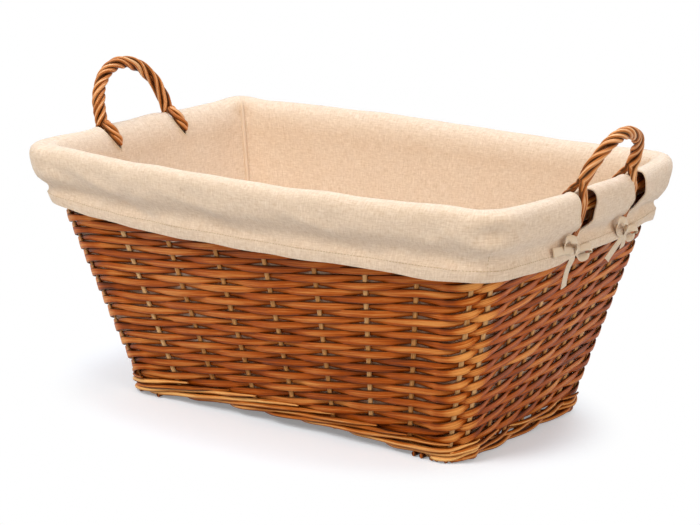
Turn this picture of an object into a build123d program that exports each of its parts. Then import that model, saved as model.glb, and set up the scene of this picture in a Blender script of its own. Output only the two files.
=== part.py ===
from build123d import *
from math import cos, pi, radians, sin
import os

# Basket outline, measured to the line through the stakes
RIM_Z = 280.0
BASE_HALF_LENGTH = 214.0
BASE_HALF_WIDTH = 112.6
BASE_CORNER_R = 30.0
RIM_HALF_LENGTH = 295.3
RIM_HALF_WIDTH = 177.5
RIM_CORNER_R = 40.0
LONG_BOW = 22.0
SHORT_BOW = 12.0
BASE_ARCH = 7.0
ARCH_FADE_Z = 120.0

# Slopes that the woven strips of the long and short sides are set at
LONG_TILT = 15.1
SHORT_TILT = 17.2

# Upright stakes
LONG_STAKES = 9
SHORT_STAKES = 7
STAKE_R = 3.2
CORNER_STAKE_R = 2.4
CORNER_STAKE_ANGLE = 30.0
STAKE_SKEW = 0.065
STAKE_TOP_Z = 253.0
STAKE_FOOT_Z = 2.4

# Woven strips of the wall
WEAVE_ROWS = 28
FIRST_ROW_Z = 27.5
ROW_PITCH = 7.85
STRIP_T = 2.4
STRIP_T_CORNER = 1.8
STRIP_W_OVER = 9.6
STRIP_W_UNDER = 4.4
STRIP_OFFSET = 5.05
STRIP_OFFSET_CORNER = 5.4
STRIP_START = 0.62

# Round rods that bind the foot of the wall
FOOT_ROD_R = 2.65
FOOT_ROD_PITCH = 5.0
FOOT_ROWS = 4
FOOT_OFFSET = 6.6
FOOT_OFFSET_CORNER = 6.8
FOOT_HALF_HEIGHT = FOOT_ROD_R * cos(radians(30))

# Woven bottom
BASE_STICKS = 5
BASE_STICK_R = 4.0
BASE_STICK_STEP = 40.0
BASE_STICK_HALF = 206.0
BASE_Z = 15.0
BASE_STRIPS = 22
BASE_STRIP_STEP = 18.6
BASE_STRIP_W = 17.0
BASE_STRIP_T = 2.4
BASE_STRIP_RISE = 5.4
BASE_STRIP_HALF = 104.0

# Rolled border that closes the top of the wall
BORDER_Z = 262.0
BORDER_R = 6.8

# Roped handles, one leaning further out than the other
HANDLE_Z = 274.0
HANDLE_HALF_SPAN = 53.0
HANDLE_RISE = 70.0
LEFT_LEAN = 20.0
RIGHT_LEAN = 27.0
ROPE_STRANDS = 5
ROPE_TURNS = 4
ROPE_PHASE = 1.12
ROPE_STEPS = 24
ROPE_CREST_R = 6.9
ROPE_VALLEY_R = 5.6
ROPE_CORE_R = 0.5
ROPE_HALF_ANGLE = 33.0
LEG_ROD_R = 2.4

# Cloth lining
CLOTH_T = 2.4
FLOOR_Z = 21.8
FLOOR_INSET = 9.6
SKIRT_WAVE = 1.2
WALL_BOTTOM_Z = 24.5

# Lining section: offset from the stake line and height, room side first
SKIN = [
    (9.4, 208.0),
    (10.4, 222.0),
    (9.2, 244.0),
    (11.6, 258.0),
    (13.0, 268.0),
    (10.8, 275.5),
    (4.0, 280.0),
    (-4.0, 279.0),
    (-9.5, 273.5),
    (-11.0, 262.0),
    (-11.4, WALL_BOTTOM_Z),
]
BACKING = [
    (-9.3, WALL_BOTTOM_Z),
    (-9.0, 262.0),
    (-7.6, 271.5),
    (-3.2, 276.6),
    (3.4, 277.6),
    (9.2, 273.8),
    (10.9, 267.4),
    (9.5, 258.4),
    (7.4, 244.2),
    (8.3, 222.0),
    (7.5, 208.0),
]
SKIRT_TOP_Z = 260.0

# Slit for each handle leg: offset along the side from the leg, and height
SLIT_OUTSIDE = [
    (-8, 300),
    (-8, 272),
    (-5, 258),
    (0, 242),
    (8, 226),
    (11, 226),
    (18, 242),
    (23, 258),
    (24, 272),
    (24, 300),
]
SLIT_INSIDE = [
    (-8, 300),
    (-8, 272),
    (-4, 258),
    (2, 245),
    (16, 245),
    (22, 258),
    (24, 272),
    (24, 300),
]

# Bows that tie the slits at the hem
BOW_Z = 217.0
BOW_SHIFT = 9.5
TAPE_W = 9.0
TAIL_W = 7.0
TAPE_T = 1.2
LOOP_LENGTH = 19.0
LOOP_DEPTH = 5.0
KNOT_W = 9.0
BOW_LIFT = 14.2


def lerp(start, end, share):
    """Value part of the way from start to end."""
    return start + (end - start) * share


def side_sizes(is_long, z):
    """Half length, half depth, corner radius and bow of a side at a height."""
    share = z / RIM_Z
    length = lerp(BASE_HALF_LENGTH, RIM_HALF_LENGTH, share)
    width = lerp(BASE_HALF_WIDTH, RIM_HALF_WIDTH, share)
    radius = lerp(BASE_CORNER_R, RIM_CORNER_R, share)
    if is_long:
        return length, width, radius, LONG_BOW * share
    return width, length, radius, SHORT_BOW * share


def stake_count(is_long):
    """Number of stakes on a side, corner stakes included."""
    return LONG_STAKES if is_long else SHORT_STAKES


def stake_point(is_long, k, z):
    """Where a stake crosses a height; the next sides' corner stakes are -1 and count."""
    along, depth, radius, bow = side_sizes(is_long, z)
    last = stake_count(is_long) - 1
    near = radius * (1 - sin(radians(CORNER_STAKE_ANGLE)))
    far = radius * (1 - cos(radians(CORNER_STAKE_ANGLE)))
    sign = -1 if k < last / 2 else 1
    if k in (-1, last + 1):
        return Vector(sign * (along - far), near - depth, z)
    if k in (0, last):
        return Vector(sign * (along - near), far - depth, z)
    share = 2 * k / last - 1
    skew = STAKE_SKEW if is_long else 0.0
    s = (along - near) * (share + skew * (1 - share**2))
    return Vector(s, -depth - bow * (1 - (s / (along - radius)) ** 2), z)


def stake_frame(is_long, k):
    """Foot of a stake, its direction, and the wall's outward direction there."""
    foot = stake_point(is_long, k, 0)
    up = (stake_point(is_long, k, RIM_Z) - foot).normalized()
    last = stake_count(is_long) - 1
    sign = -1 if k < last / 2 else 1
    angle = radians(CORNER_STAKE_ANGLE)
    if k in (-1, last + 1):
        level = Vector(sign * cos(angle), -sin(angle), 0)
    elif k in (0, last):
        level = Vector(sign * sin(angle), -cos(angle), 0)
    else:
        along, depth, radius, bow = side_sizes(is_long, RIM_Z / 2)
        s = stake_point(is_long, k, RIM_Z / 2).X
        level = Vector(2 * bow * s / (along - radius) ** 2, -1, 0).normalized()
    out = (level - up * level.dot(up)).normalized()
    return foot, up, out


def arch_lift(is_long, k, z):
    """Lift of the arched long sides, fading out with height."""
    if not is_long or z > ARCH_FADE_Z:
        return 0.0
    along, depth, radius, bow = side_sizes(is_long, 0)
    s = min(abs(stake_point(is_long, k, 0).X), along - radius)
    return BASE_ARCH * (1 - (s / (along - radius)) ** 2) * (1 - z / ARCH_FADE_Z)


def polygon(count, radius):
    """Corners of a regular section, with flats at top and bottom when count is even."""
    turn = 2 * pi / count
    return [(radius * cos(i * turn), radius * sin(i * turn)) for i in range(count)]


def oblong(thick, width):
    """Corners of a flat strip's section."""
    x = thick / 2
    y = width / 2
    return [(-x, -y), (x, -y), (x, y), (-x, y)]


def ring(middle, first, second, corners):
    """Points of a section laid out in two directions from its middle."""
    return [middle + first * a + second * b for a, b in corners]


def flat(points):
    """Flat facet through points."""
    return Face(Wire.make_polygon(points))


def facets(sections):
    """Closed solid with flat facets through matching sections."""
    faces = [flat(sections[0]), flat(sections[-1])]
    for near, far in zip(sections, sections[1:]):
        for i in range(len(near)):
            j = (i + 1) % len(near)
            warp = (near[j] - near[i]).cross(far[i] - near[i]).dot(far[j] - near[i])
            if abs(warp) < 1e-6:
                faces.append(flat([near[i], near[j], far[j], far[i]]))
            else:
                faces.append(flat([near[i], near[j], far[j]]))
                faces.append(flat([near[i], far[j], far[i]]))
    return Solid(Shell(faces))


def strip_section(is_long, k, z, offset, corners):
    """Section of a woven strip where it passes a stake, set along the wall's slope."""
    foot, up, out = stake_frame(is_long, k)
    height = z + arch_lift(is_long, k, z)
    middle = foot + up * (height / up.Z)
    if not is_corner(is_long, k):
        tilt = radians(LONG_TILT if is_long else SHORT_TILT)
        up = Vector(0, -sin(tilt), cos(tilt))
        out = Vector(0, -cos(tilt), -sin(tilt))
    return ring(middle + out * offset, out, up, corners)


def rod_section(is_long, k, z, offset, corners):
    """Upright section of a round rod where it passes a stake."""
    foot, up, out = stake_frame(is_long, k)
    height = z + arch_lift(is_long, k, z)
    middle = foot + up * (height / up.Z)
    level = Vector(0, -1, 0)
    if is_corner(is_long, k):
        level = Vector(out.X, out.Y, 0).normalized()
    return ring(middle + level * offset, level, Vector(0, 0, 1), corners)


def is_corner(is_long, k):
    """True at a corner stake."""
    return k <= 0 or k >= stake_count(is_long) - 1


def stations(is_long):
    """Stakes a rod passes: long sides carry it round the corners."""
    count = stake_count(is_long)
    return range(-1, count + 1) if is_long else range(count)


def passing(is_long, k, row):
    """Section of a strip where it passes a stake: outside in even rows, inside in odd ones."""
    over = row % 2 == 0
    corner = is_corner(is_long, k)
    offset = STRIP_OFFSET_CORNER if corner else STRIP_OFFSET
    thick = STRIP_T_CORNER if corner else STRIP_T
    corners = oblong(thick, STRIP_W_OVER if over else STRIP_W_UNDER)
    z = FIRST_ROW_Z + row * ROW_PITCH
    return strip_section(is_long, k, z, offset if over else -offset, corners)


def weave_strip(is_long, start):
    """One flat strip, over one stake and under the next, that climbs a row at each stake."""
    passed = [k for k in stations(is_long) if 0 <= start + k < WEAVE_ROWS]
    sections = [passing(is_long, k, start + k) for k in passed]
    if start + stations(is_long)[0] < 0:
        # Thick end of the strip, part of the way from the stake before and just above the foot band
        before = passing(is_long, passed[0] - 1, -1)
        sections.insert(0, [lerp(a, b, STRIP_START) for a, b in zip(before, sections[0])])
    return facets(sections)


def weave_side(is_long):
    """Strips of one side, each starting at the next stake along, then row by row above the first."""
    first = stations(is_long)[0]
    last = stations(is_long)[-1]
    return [weave_strip(is_long, start) for start in range(-last, WEAVE_ROWS - first - 1)]


def foot_rod(is_long, row):
    """One round rod of the foot band: over two stakes and under one, outside the corners."""
    z = FOOT_HALF_HEIGHT + row * FOOT_ROD_PITCH
    sections = []
    for k in stations(is_long):
        offset = -FOOT_OFFSET if (k + row) % 3 == 0 else FOOT_OFFSET
        if is_corner(is_long, k):
            offset = FOOT_OFFSET_CORNER
        sections.append(rod_section(is_long, k, z, offset, polygon(6, FOOT_ROD_R)))
    return facets(sections)


def stake(is_long, k):
    """One upright stake."""
    foot, up, out = stake_frame(is_long, k)
    start = STAKE_FOOT_Z if is_long else 2 * FOOT_HALF_HEIGHT + 1.0
    start += arch_lift(is_long, k, 0)
    radius = CORNER_STAKE_R if is_corner(is_long, k) else STAKE_R
    side = out.cross(up)
    heights = (start, STAKE_TOP_Z)
    return facets([ring(foot + up * (z / up.Z), out, side, polygon(8, radius)) for z in heights])


def border_rod(is_long):
    """The rolled border along one side."""
    corners = polygon(8, BORDER_R)
    return facets([rod_section(is_long, k, BORDER_Z, 0, corners) for k in stations(is_long)])


def floor_rods():
    """Straight rods under the short sides, the basket's contact with the floor."""
    plane = Plane.XZ
    half = BASE_HALF_WIDTH - BASE_CORNER_R * 0.5
    rod = extrude(plane * Pos(0, FOOT_HALF_HEIGHT) * RegularPolygon(FOOT_ROD_R, 6), half, both=True)
    x = BASE_HALF_LENGTH - 1.5
    return [Pos(-x, 0, 0) * rod, Pos(x, 0, 0) * rod]


def base_strip(i):
    """One strip of the woven bottom, passing over and under the base sticks."""
    x = (i - (BASE_STRIPS - 1) / 2) * BASE_STRIP_STEP
    reach = (BASE_STICKS - 1) / 2 * BASE_STICK_STEP
    sections = []
    for j in range(-1, BASE_STICKS + 1):
        y = min(max(j * BASE_STICK_STEP - reach, -BASE_STRIP_HALF), BASE_STRIP_HALF)
        rise = 0 if j in (-1, BASE_STICKS) else BASE_STRIP_RISE * (-1) ** (i + j)
        middle = Vector(x, y, BASE_Z + rise)
        corners = oblong(BASE_STRIP_W, BASE_STRIP_T)
        sections.append(ring(middle, Vector(1, 0, 0), Vector(0, 0, 1), corners))
    return facets(sections)


def base_stick(i):
    """One long stick of the bottom."""
    y = (i - (BASE_STICKS - 1) / 2) * BASE_STICK_STEP
    corners = polygon(8, BASE_STICK_R)
    ends = (Vector(-BASE_STICK_HALF, y, BASE_Z), Vector(BASE_STICK_HALF, y, BASE_Z))
    return facets([ring(end, Vector(0, 1, 0), Vector(0, 0, 1), corners) for end in ends])


def lining_point(is_long, share, angle, offset, z):
    """Point of the lining: share runs along the side, angle turns round a corner."""
    along, depth, radius, bow = side_sizes(is_long, z)
    if angle == 0:
        return Vector(share * (along - radius), -depth - offset - bow * (1 - share**2), z)
    sign = 1 if share > 0 else -1
    turn = radians(angle)
    x = along - radius + (radius + offset) * sin(turn)
    return Vector(sign * x, radius - depth - (radius + offset) * cos(turn), z)


def lining_panel(is_long):
    """One side of the lining: inside wall, roll over the rim, and outside skirt with its folds."""
    parts = 8 if is_long else 6
    places = [(-1, 45), (-1, 22.5)]
    places += [(2 * i / parts - 1, 0) for i in range(parts + 1)]
    places += [(1, 22.5), (1, 45)]
    sections = []
    for share, angle in places:
        outline = []
        fold = SKIRT_WAVE * (1 - share**2) * (1 + sin(2.5 * pi * share + 0.6))
        for offset, z in SKIN + BACKING:
            wave = fold if offset > 0 and z < SKIRT_TOP_Z else 0
            outline.append(lining_point(is_long, share, angle, offset + wave, z))
        sections.append(outline)
    return facets(sections)


def slit_cutters(leg_y, right):
    """Two blocks that open the lining for a handle leg, outside and inside the wall."""
    wall = lerp(BASE_HALF_LENGTH, RIM_HALF_LENGTH, 250 / RIM_Z) + SHORT_BOW * 0.8
    outside = [(leg_y + s, z) for s, z in SLIT_OUTSIDE]
    inside = [(leg_y + s, z) for s, z in SLIT_INSIDE]
    far = extrude(Plane.YZ * Pos(0, 0, wall) * make_face(Polyline(outside, close=True)), 80)
    near = extrude(Plane.YZ * Pos(0, 0, wall - 80) * make_face(Polyline(inside, close=True)), 80)
    both = [far, near]
    return both if right else [mirror(block, Plane.YZ) for block in both]


def rim_out(y, z):
    """Distance from the middle of the basket to the stake line of a short side."""
    along, depth, radius, bow = side_sizes(False, z)
    return depth + bow * (1 - (y / (along - radius)) ** 2)


def leg_sections(leg_y, strand_dirs, travel):
    """Where each rod of a leg runs below the rope: three outside the border, two inside."""
    order = sorted(range(ROPE_STRANDS), key=lambda j: -strand_dirs[j].X)
    outside = sorted(order[:3], key=lambda j: strand_dirs[j].Y)
    inside = sorted(order[3:], key=lambda j: strand_dirs[j].Y)
    runs = {}
    for rank, j in enumerate(outside):
        top = (10.9, 265.0, 6.2 * rank)
        low = (10.2, 241.0, 4.2 + 5.2 * rank)
        runs[j] = (1, [top, low])
    for rank, j in enumerate(inside):
        top = (-10.9, 266.0, 2.0 + 6.0 * rank)
        low = (-10.6, 249.0, 5.0 + 5.6 * rank)
        runs[j] = (-1, [top, low])
    result = {}
    for j, (side, places) in runs.items():
        result[j] = []
        for offset, z, shift in places:
            y = leg_y + shift
            centre = Vector(rim_out(y, z) + offset, y, z)
            first = Vector(side, 0, 0)
            second = travel.cross(first)
            corners = [(-1, 0), (0, -1), (1, 0), (0, 1)]
            result[j].append(ring(centre, first * LEG_ROD_R, second * LEG_ROD_R, corners))
    return result


def roped_handle(lean, right):
    """A handle twisted from rods, whose ends part at the border."""
    tilt = radians(lean)
    rise = Vector(sin(tilt), 0, cos(tilt))
    side = Vector(cos(tilt), 0, -sin(tilt))
    start = Vector(rim_out(HANDLE_HALF_SPAN, HANDLE_Z), 0, HANDLE_Z)
    strands = [[] for j in range(ROPE_STRANDS)]
    ends = []
    for i in range(ROPE_STEPS + 1):
        turn = pi * i / ROPE_STEPS
        height = HANDLE_RISE * sin(turn) ** 0.8 if 0 < i < ROPE_STEPS else 0.0
        centre = start + Vector(0, -HANDLE_HALF_SPAN * cos(turn), 0) + rise * height
        along = Vector(0, HANDLE_HALF_SPAN * sin(turn), 0) + rise * (HANDLE_RISE * cos(turn))
        along = along.normalized()
        cross = along.cross(side)
        dirs = []
        for j in range(ROPE_STRANDS):
            spin = 2 * pi * (ROPE_TURNS * i / ROPE_STEPS + j / ROPE_STRANDS) + ROPE_PHASE
            radial = side * cos(spin) + cross * sin(spin)
            around = along.cross(radial)
            half = radians(ROPE_HALF_ANGLE)
            depth = ROPE_VALLEY_R * cos(half)
            spread = ROPE_VALLEY_R * sin(half)
            corners = [(ROPE_CORE_R, 0), (depth, -spread), (ROPE_CREST_R, 0), (depth, spread)]
            strands[j].append(ring(centre, radial, around, corners))
            dirs.append(radial)
        ends.append(dirs)
    up = Vector(0, 0, 1)
    first = leg_sections(-HANDLE_HALF_SPAN, ends[0], up)
    last = leg_sections(HANDLE_HALF_SPAN, ends[-1], -up)
    rods = []
    for j in range(ROPE_STRANDS):
        rods.append(facets(first[j][::-1] + strands[j] + last[j]))
    return rods if right else [mirror(rod, Plane.YZ) for rod in rods]


def tape_loop(angle):
    """A loop of folded tape that leaves the knot at an angle."""
    reach = KNOT_W / 2
    length = LOOP_LENGTH
    depth = LOOP_DEPTH
    outline = [(0, -1.4), (length * 0.6, -depth / 2), (length * 0.9, -depth / 2 + 0.8)]
    outline += [(length, 0), (length * 0.9, depth / 2 - 0.8), (length * 0.6, depth / 2), (0, 1.4)]
    hollow = [(1, -0.15), (length * 0.6, TAPE_T - depth / 2), (length * 0.88, TAPE_T + 0.8 - depth / 2)]
    hollow += [(length - TAPE_T, 0), (length * 0.88, depth / 2 - TAPE_T - 0.8)]
    hollow += [(length * 0.6, depth / 2 - TAPE_T), (1, 0.15)]
    ring = make_face(Polyline(outline, close=True)) - make_face(Polyline(hollow, close=True))
    loop = extrude(Plane.XZ * ring, TAPE_W / 2, both=True)
    return Rot(0, 0, angle) * Pos(reach + 0.6, 0, 0) * loop


def tape_tail(angle, length, drop):
    """A free end of tape that leaves the knot at an angle and falls towards the wall."""
    profile = [(0, -0.6), (length, -drop - 0.6), (length, -drop + 0.6), (0, 0.6)]
    tail = extrude(Plane.XZ * make_face(Polyline(profile, close=True)), TAIL_W / 2, both=True)
    return Rot(0, 0, angle) * Pos(KNOT_W / 2 + 0.45, 0, -2.2) * tail


def tied_bow(leg_y, right):
    """A bow of tape: knot, two loops and two tails, on the hem below a slit."""
    y = leg_y + BOW_SHIFT
    low = Vector(rim_out(y, 0), y, 0)
    slope = (Vector(rim_out(y, RIM_Z), y, RIM_Z) - low).normalized()
    along = Vector(0, 1, 0)
    out = along.cross(slope)
    origin = low + slope * (BOW_Z / slope.Z) + out * BOW_LIFT
    place = Plane(origin=origin, x_dir=along, z_dir=out)
    knot = Box(KNOT_W, KNOT_W, 6.4)
    knot = chamfer(knot.edges().filter_by(Axis.Z), 2.6)
    pieces = [knot, tape_loop(140), tape_loop(-15), tape_tail(-74, 34, 1.0), tape_tail(208, 22, -0.4)]
    solids = [place * piece for piece in pieces]
    return solids if right else [mirror(solid, Plane.YZ) for solid in solids]


def save(name, shapes):
    """Write one named piece of the basket, made of one or more solids."""
    solids = []
    for shape in shapes:
        solids += shape.solids()
    export_step(Compound(children=solids), f"parts/{name}.step")


os.makedirs("parts", exist_ok=True)

# Walls, built once for a long and a short side and turned to the opposite side
for is_long, names in ((True, ("front", "back")), (False, ("right", "left"))):
    stakes = [stake(is_long, k) for k in range(stake_count(is_long))]
    weave = weave_side(is_long)
    foot = [foot_rod(is_long, row) for row in range(0 if is_long else 1, FOOT_ROWS)]
    border = [border_rod(is_long)]
    first_turn = 0 if is_long else 90
    for name, turn in zip(names, (first_turn, first_turn + 180)):
        place = Rot(0, 0, turn)
        save(f"stakes_{name}", [place * s for s in stakes])
        save(f"weave_{name}", [place * s for s in weave])
        save(f"foot_band_{name}", [place * s for s in foot])
        save(f"border_{name}", [place * s for s in border])

# Woven bottom and the rods it stands on
save("floor_rods", floor_rods())
save("base_sticks", [base_stick(i) for i in range(BASE_STICKS)])
save("base_weave", [base_strip(i) for i in range(BASE_STRIPS)])

# Handles and the bows below their legs
for name, lean, right in (("left", LEFT_LEAN, False), ("right", RIGHT_LEAN, True)):
    save(f"handle_{name}", roped_handle(lean, right))
    save(f"bow_{name}_front", tied_bow(-HANDLE_HALF_SPAN, right))
    save(f"bow_{name}_back", tied_bow(HANDLE_HALF_SPAN, right))

# Lining
long_panel = lining_panel(True)
save("lining_front", [long_panel])
save("lining_back", [Rot(0, 0, 180) * long_panel])
short_panel = lining_panel(False)
for name, turn, right in (("right", 90, True), ("left", 270, False)):
    panel = Rot(0, 0, turn) * short_panel
    for leg_y in (-HANDLE_HALF_SPAN, HANDLE_HALF_SPAN):
        for block in slit_cutters(leg_y, right):
            panel = panel - block
    save(f"lining_{name}", [panel])
along, depth, radius, bow = side_sizes(True, FLOOR_Z)
floor = RectangleRounded(2 * (along - FLOOR_INSET), 2 * (depth - FLOOR_INSET), radius - FLOOR_INSET)
save("lining_floor", [Pos(0, 0, FLOOR_Z) * extrude(floor, CLOTH_T)])
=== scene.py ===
import logging
import math
from dataclasses import dataclass, field
from enum import Enum
from typing import Any

import bpy
import numpy as np
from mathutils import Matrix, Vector


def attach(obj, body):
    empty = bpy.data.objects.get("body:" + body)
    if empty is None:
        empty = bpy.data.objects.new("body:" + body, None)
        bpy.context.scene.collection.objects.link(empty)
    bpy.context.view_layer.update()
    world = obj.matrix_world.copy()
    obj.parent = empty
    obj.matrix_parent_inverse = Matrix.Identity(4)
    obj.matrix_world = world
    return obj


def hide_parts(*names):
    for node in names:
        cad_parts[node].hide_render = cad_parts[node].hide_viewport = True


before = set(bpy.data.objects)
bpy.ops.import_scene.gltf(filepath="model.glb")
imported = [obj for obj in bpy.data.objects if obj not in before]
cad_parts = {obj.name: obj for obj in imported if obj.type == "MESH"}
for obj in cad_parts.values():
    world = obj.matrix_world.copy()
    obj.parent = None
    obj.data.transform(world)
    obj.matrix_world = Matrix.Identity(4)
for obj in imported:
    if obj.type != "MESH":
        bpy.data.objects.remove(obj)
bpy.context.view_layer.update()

MM = 0.001
UP = np.array([0.0, 0.0, 1.0])
LOG = logging.getLogger("willow_basket")

# Short names for the type hints
Array = np.ndarray
Chance = np.random.Generator
Piece = bpy.types.Object
Tree = bpy.types.NodeTree
Socket = bpy.types.NodeSocket
Material = bpy.types.Material
Point = tuple[float, float, float]


class Side(Enum):
    """The four walls, with the quarter turns that bring the front wall to each."""

    FRONT = 0
    RIGHT = 1
    BACK = 2
    LEFT = 3

    @property
    def is_long(self) -> bool:
        """True for the front and back walls."""
        return self in (Side.FRONT, Side.BACK)

    @property
    def word(self) -> str:
        """The wall's word in the node names."""
        return self.name.lower()


class Slot(Enum):
    """Material slots of the record."""

    STRIP = "willow_strip"
    STAKE = "willow_stake"
    ROD = "willow_rod"
    CLOTH = "lining_cloth"
    TAPE = "tie_tape"


# ---------------------------------------------------------------- numbers and lines


def linear(hex_colour: str) -> tuple[float, float, float, float]:
    """Turn an sRGB hex colour into linear light.

    Args:
        hex_colour: Six hex digits, with or without a leading hash.

    Returns:
        Linear red, green, blue and an alpha of one.
    """
    digits = hex_colour.lstrip("#")
    parts = [int(digits[i : i + 2], 16) / 255 for i in (0, 2, 4)]
    light = [c / 12.92 if c <= 0.04045 else ((c + 0.055) / 1.055) ** 2.4 for c in parts]
    return (light[0], light[1], light[2], 1.0)


def unit(vectors: Array) -> Array:
    """Scale vectors in the last axis to a length of one."""
    return vectors / np.maximum(np.linalg.norm(vectors, axis=-1, keepdims=True), 1e-12)


def level_out(line: Array) -> Array:
    """Level directions away from the basket's middle."""
    return unit(line * [1.0, 1.0, 0.0])


def share_of(value: Array, full: float) -> Array:
    """Part of a full value, held between 0 and 1."""
    return np.clip(value / full, 0.0, 1.0)


def bell(value: Array, width: float) -> Array:
    """Bell curve that is 1 at zero and has faded at about twice its width."""
    return np.exp(-((value / width) ** 2))


def from_ends(count: int) -> Array:
    """Steps of each place in a row to the row's nearer end."""
    return np.minimum(np.arange(count), np.arange(count)[::-1])


def lengths(line: Array) -> Array:
    """Length of a run up to each of its points."""
    return np.concatenate([[0.0], np.cumsum(np.linalg.norm(np.diff(line, axis=0), axis=1))])


def blurred(row: Array, reach: int, width: float) -> Array:
    """Round off a closed row of values or points.

    Args:
        row: The values in order.
        reach: Neighbours to each side that count.
        width: Width of the bell that weighs them.

    Returns:
        The rounded row.
    """
    steps = np.arange(-reach, reach + 1)
    weight = np.exp(-((steps / width) ** 2) / 2)
    return sum(w * np.roll(row, -k, axis=0) for k, w in zip(steps, weight / weight.sum()))


def smooth_run(points: Array, samples: int, closed: bool = False) -> Array:
    """Pass a smooth curve through points that may be unevenly spaced.

    Args:
        points: Points in order, one per row.
        samples: Steps between neighbouring points.
        closed: True for a ring.

    Returns:
        Points of the curve; an open run ends on the last point given.
    """
    if closed:
        ring = np.vstack([points[-1:], points, points[:2]])
    else:
        first, last = 2 * points[0] - points[1], 2 * points[-1] - points[-2]
        ring = np.vstack([first, points, last])
    steps = np.linalg.norm(np.diff(ring[:, :3], axis=0), axis=1)[:, None] + 1e-9
    slopes = np.diff(ring, axis=0) / steps
    ahead, behind = steps[1:], steps[:-1]
    tangents = (slopes[1:] * behind + slopes[:-1] * ahead) / (ahead + behind)
    starts, ends, spans = ring[1:-2], ring[2:-1], steps[1:-1]
    t = (np.arange(samples) / samples)[None, :, None]
    lead, tail = tangents[:-1], tangents[1:]
    run = (
        (2 * t**3 - 3 * t**2 + 1) * starts[:, None]
        + (t**3 - 2 * t**2 + t) * (spans * lead)[:, None]
        + (3 * t**2 - 2 * t**3) * ends[:, None]
        + (t**3 - t**2) * (spans * tail)[:, None]
    ).reshape(-1, points.shape[1])
    return run if closed else np.vstack([run, points[-1:]])


def waves(where: Array, length: float, seed: int) -> Array:
    """Slow, uneven ripples from a few sines.

    Args:
        where: Places along the run.
        length: Typical length of a ripple, in the same unit.
        seed: Fixed seed of the sines.

    Returns:
        Heights between about -1 and 1.
    """
    chance = np.random.default_rng(seed)
    total = np.zeros_like(where, dtype=float)
    for share in (0.55, 0.8, 1.0, 1.3, 1.9):
        ripple = length * share * chance.uniform(0.9, 1.1)
        total += np.sin(2 * np.pi * where / ripple + chance.uniform(0, 6.28))
    return total / 3.0


# ---------------------------------------------------------------- pieces


def placed(name: str, data: bpy.types.ID) -> Piece:
    """Show new data in the scene as an object at the origin.

    Args:
        name: Name of the object.
        data: Its mesh, light or camera.

    Returns:
        The object.
    """
    piece = bpy.data.objects.new(name, data)
    bpy.context.scene.collection.objects.link(piece)
    return piece


def mesh_piece(name: str, points: Array, faces: list[tuple[int, ...]]) -> Piece:
    """Make a smooth-shaded mesh object at the origin.

    Args:
        name: Name of the piece.
        points: Its points in millimetres.
        faces: The points' numbers, face by face.

    Returns:
        The piece.
    """
    mesh = bpy.data.meshes.new(name)
    mesh.from_pydata((np.asarray(points) * MM).tolist(), [], faces)
    mesh.polygons.foreach_set("use_smooth", [True] * len(mesh.polygons))
    mesh.update()
    return placed(name, mesh)


def made_plain(piece: Piece, modifier: bpy.types.Modifier) -> bpy.types.Mesh:
    """Keep what a modifier makes as the piece's own mesh, and take the modifier off.

    Args:
        piece: The piece.
        modifier: Its modifier.

    Returns:
        The new mesh.
    """
    raw = piece.data
    seen = piece.evaluated_get(bpy.context.evaluated_depsgraph_get())
    piece.data = bpy.data.meshes.new_from_object(seen)
    piece.modifiers.remove(modifier)
    bpy.data.meshes.remove(raw)
    piece.data.name = piece.name
    return piece.data


def settle(piece: Piece, slot: Slot, *nodes: str) -> Piece:
    """Put a finished piece on the basket's body and let it stand for its nodes.

    Args:
        piece: The finished piece.
        slot: The record's slot that the finish belongs to; not used.
        nodes: Names of the nodes that the piece replaces.

    Returns:
        The same piece.
    """
    if nodes:
        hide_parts(*nodes)
    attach(piece, "root")
    LOG.info("%s: %d faces", piece.name, len(piece.data.polygons))
    return piece


# ---------------------------------------------------------------- nodes


def add_node(
    tree: Tree, kind: str, settings: dict[str, Any] | None = None, feeds: dict[str | int, Any] | None = None
) -> bpy.types.Node:
    """Add a node, set its properties, and fill or link its inputs.

    Args:
        tree: The tree that takes the node.
        kind: Blender's type name of the node.
        settings: Node properties by name.
        feeds: Input values, or output sockets to link, by socket name or place.

    Returns:
        The new node.
    """
    node = tree.nodes.new(kind)
    for name, value in (settings or {}).items():
        setattr(node, name, value)
    for key, value in (feeds or {}).items():
        if isinstance(value, bpy.types.NodeSocket):
            tree.links.new(value, node.inputs[key])
        else:
            node.inputs[key].default_value = value
    return node


def calc(tree: Tree, operation: str, *values: Socket | float) -> Socket:
    """Add a math node on values in order, and give its result."""
    return add_node(tree, "ShaderNodeMath", {"operation": operation}, dict(enumerate(values))).outputs[0]


def stretched(tree: Tree, place: Socket, scale: Point) -> Socket:
    """Scale a place in its three axes."""
    return add_node(tree, "ShaderNodeVectorMath", {"operation": "MULTIPLY"}, {0: place, 1: scale}).outputs[0]


def noise(tree: Tree, place: Socket, scale: Point, detail: float, roughness: float = 0.5) -> Socket:
    """Add a noise texture.

    Args:
        tree: The tree that takes the nodes.
        place: Where the noise is read.
        scale: Stretch of that place in its three axes.
        detail: How many finer layers there are.
        roughness: Share of each finer layer.

    Returns:
        The noise, from 0 to 1.
    """
    at = stretched(tree, place, scale)
    feeds = {"Vector": at, "Scale": 1.0, "Detail": detail, "Roughness": roughness}
    return add_node(tree, "ShaderNodeTexNoise", None, feeds).outputs["Fac"]


def mapped(
    tree: Tree, value: Socket, source: tuple[float, float], goal: tuple[float, float], kind: str = "SMOOTHSTEP"
) -> Socket:
    """Map a value from a source range to a goal range, held at both ends."""
    feeds = {"Value": value, "From Min": source[0], "From Max": source[1], "To Min": goal[0], "To Max": goal[1]}
    return add_node(tree, "ShaderNodeMapRange", {"interpolation_type": kind}, feeds).outputs[0]


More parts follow.
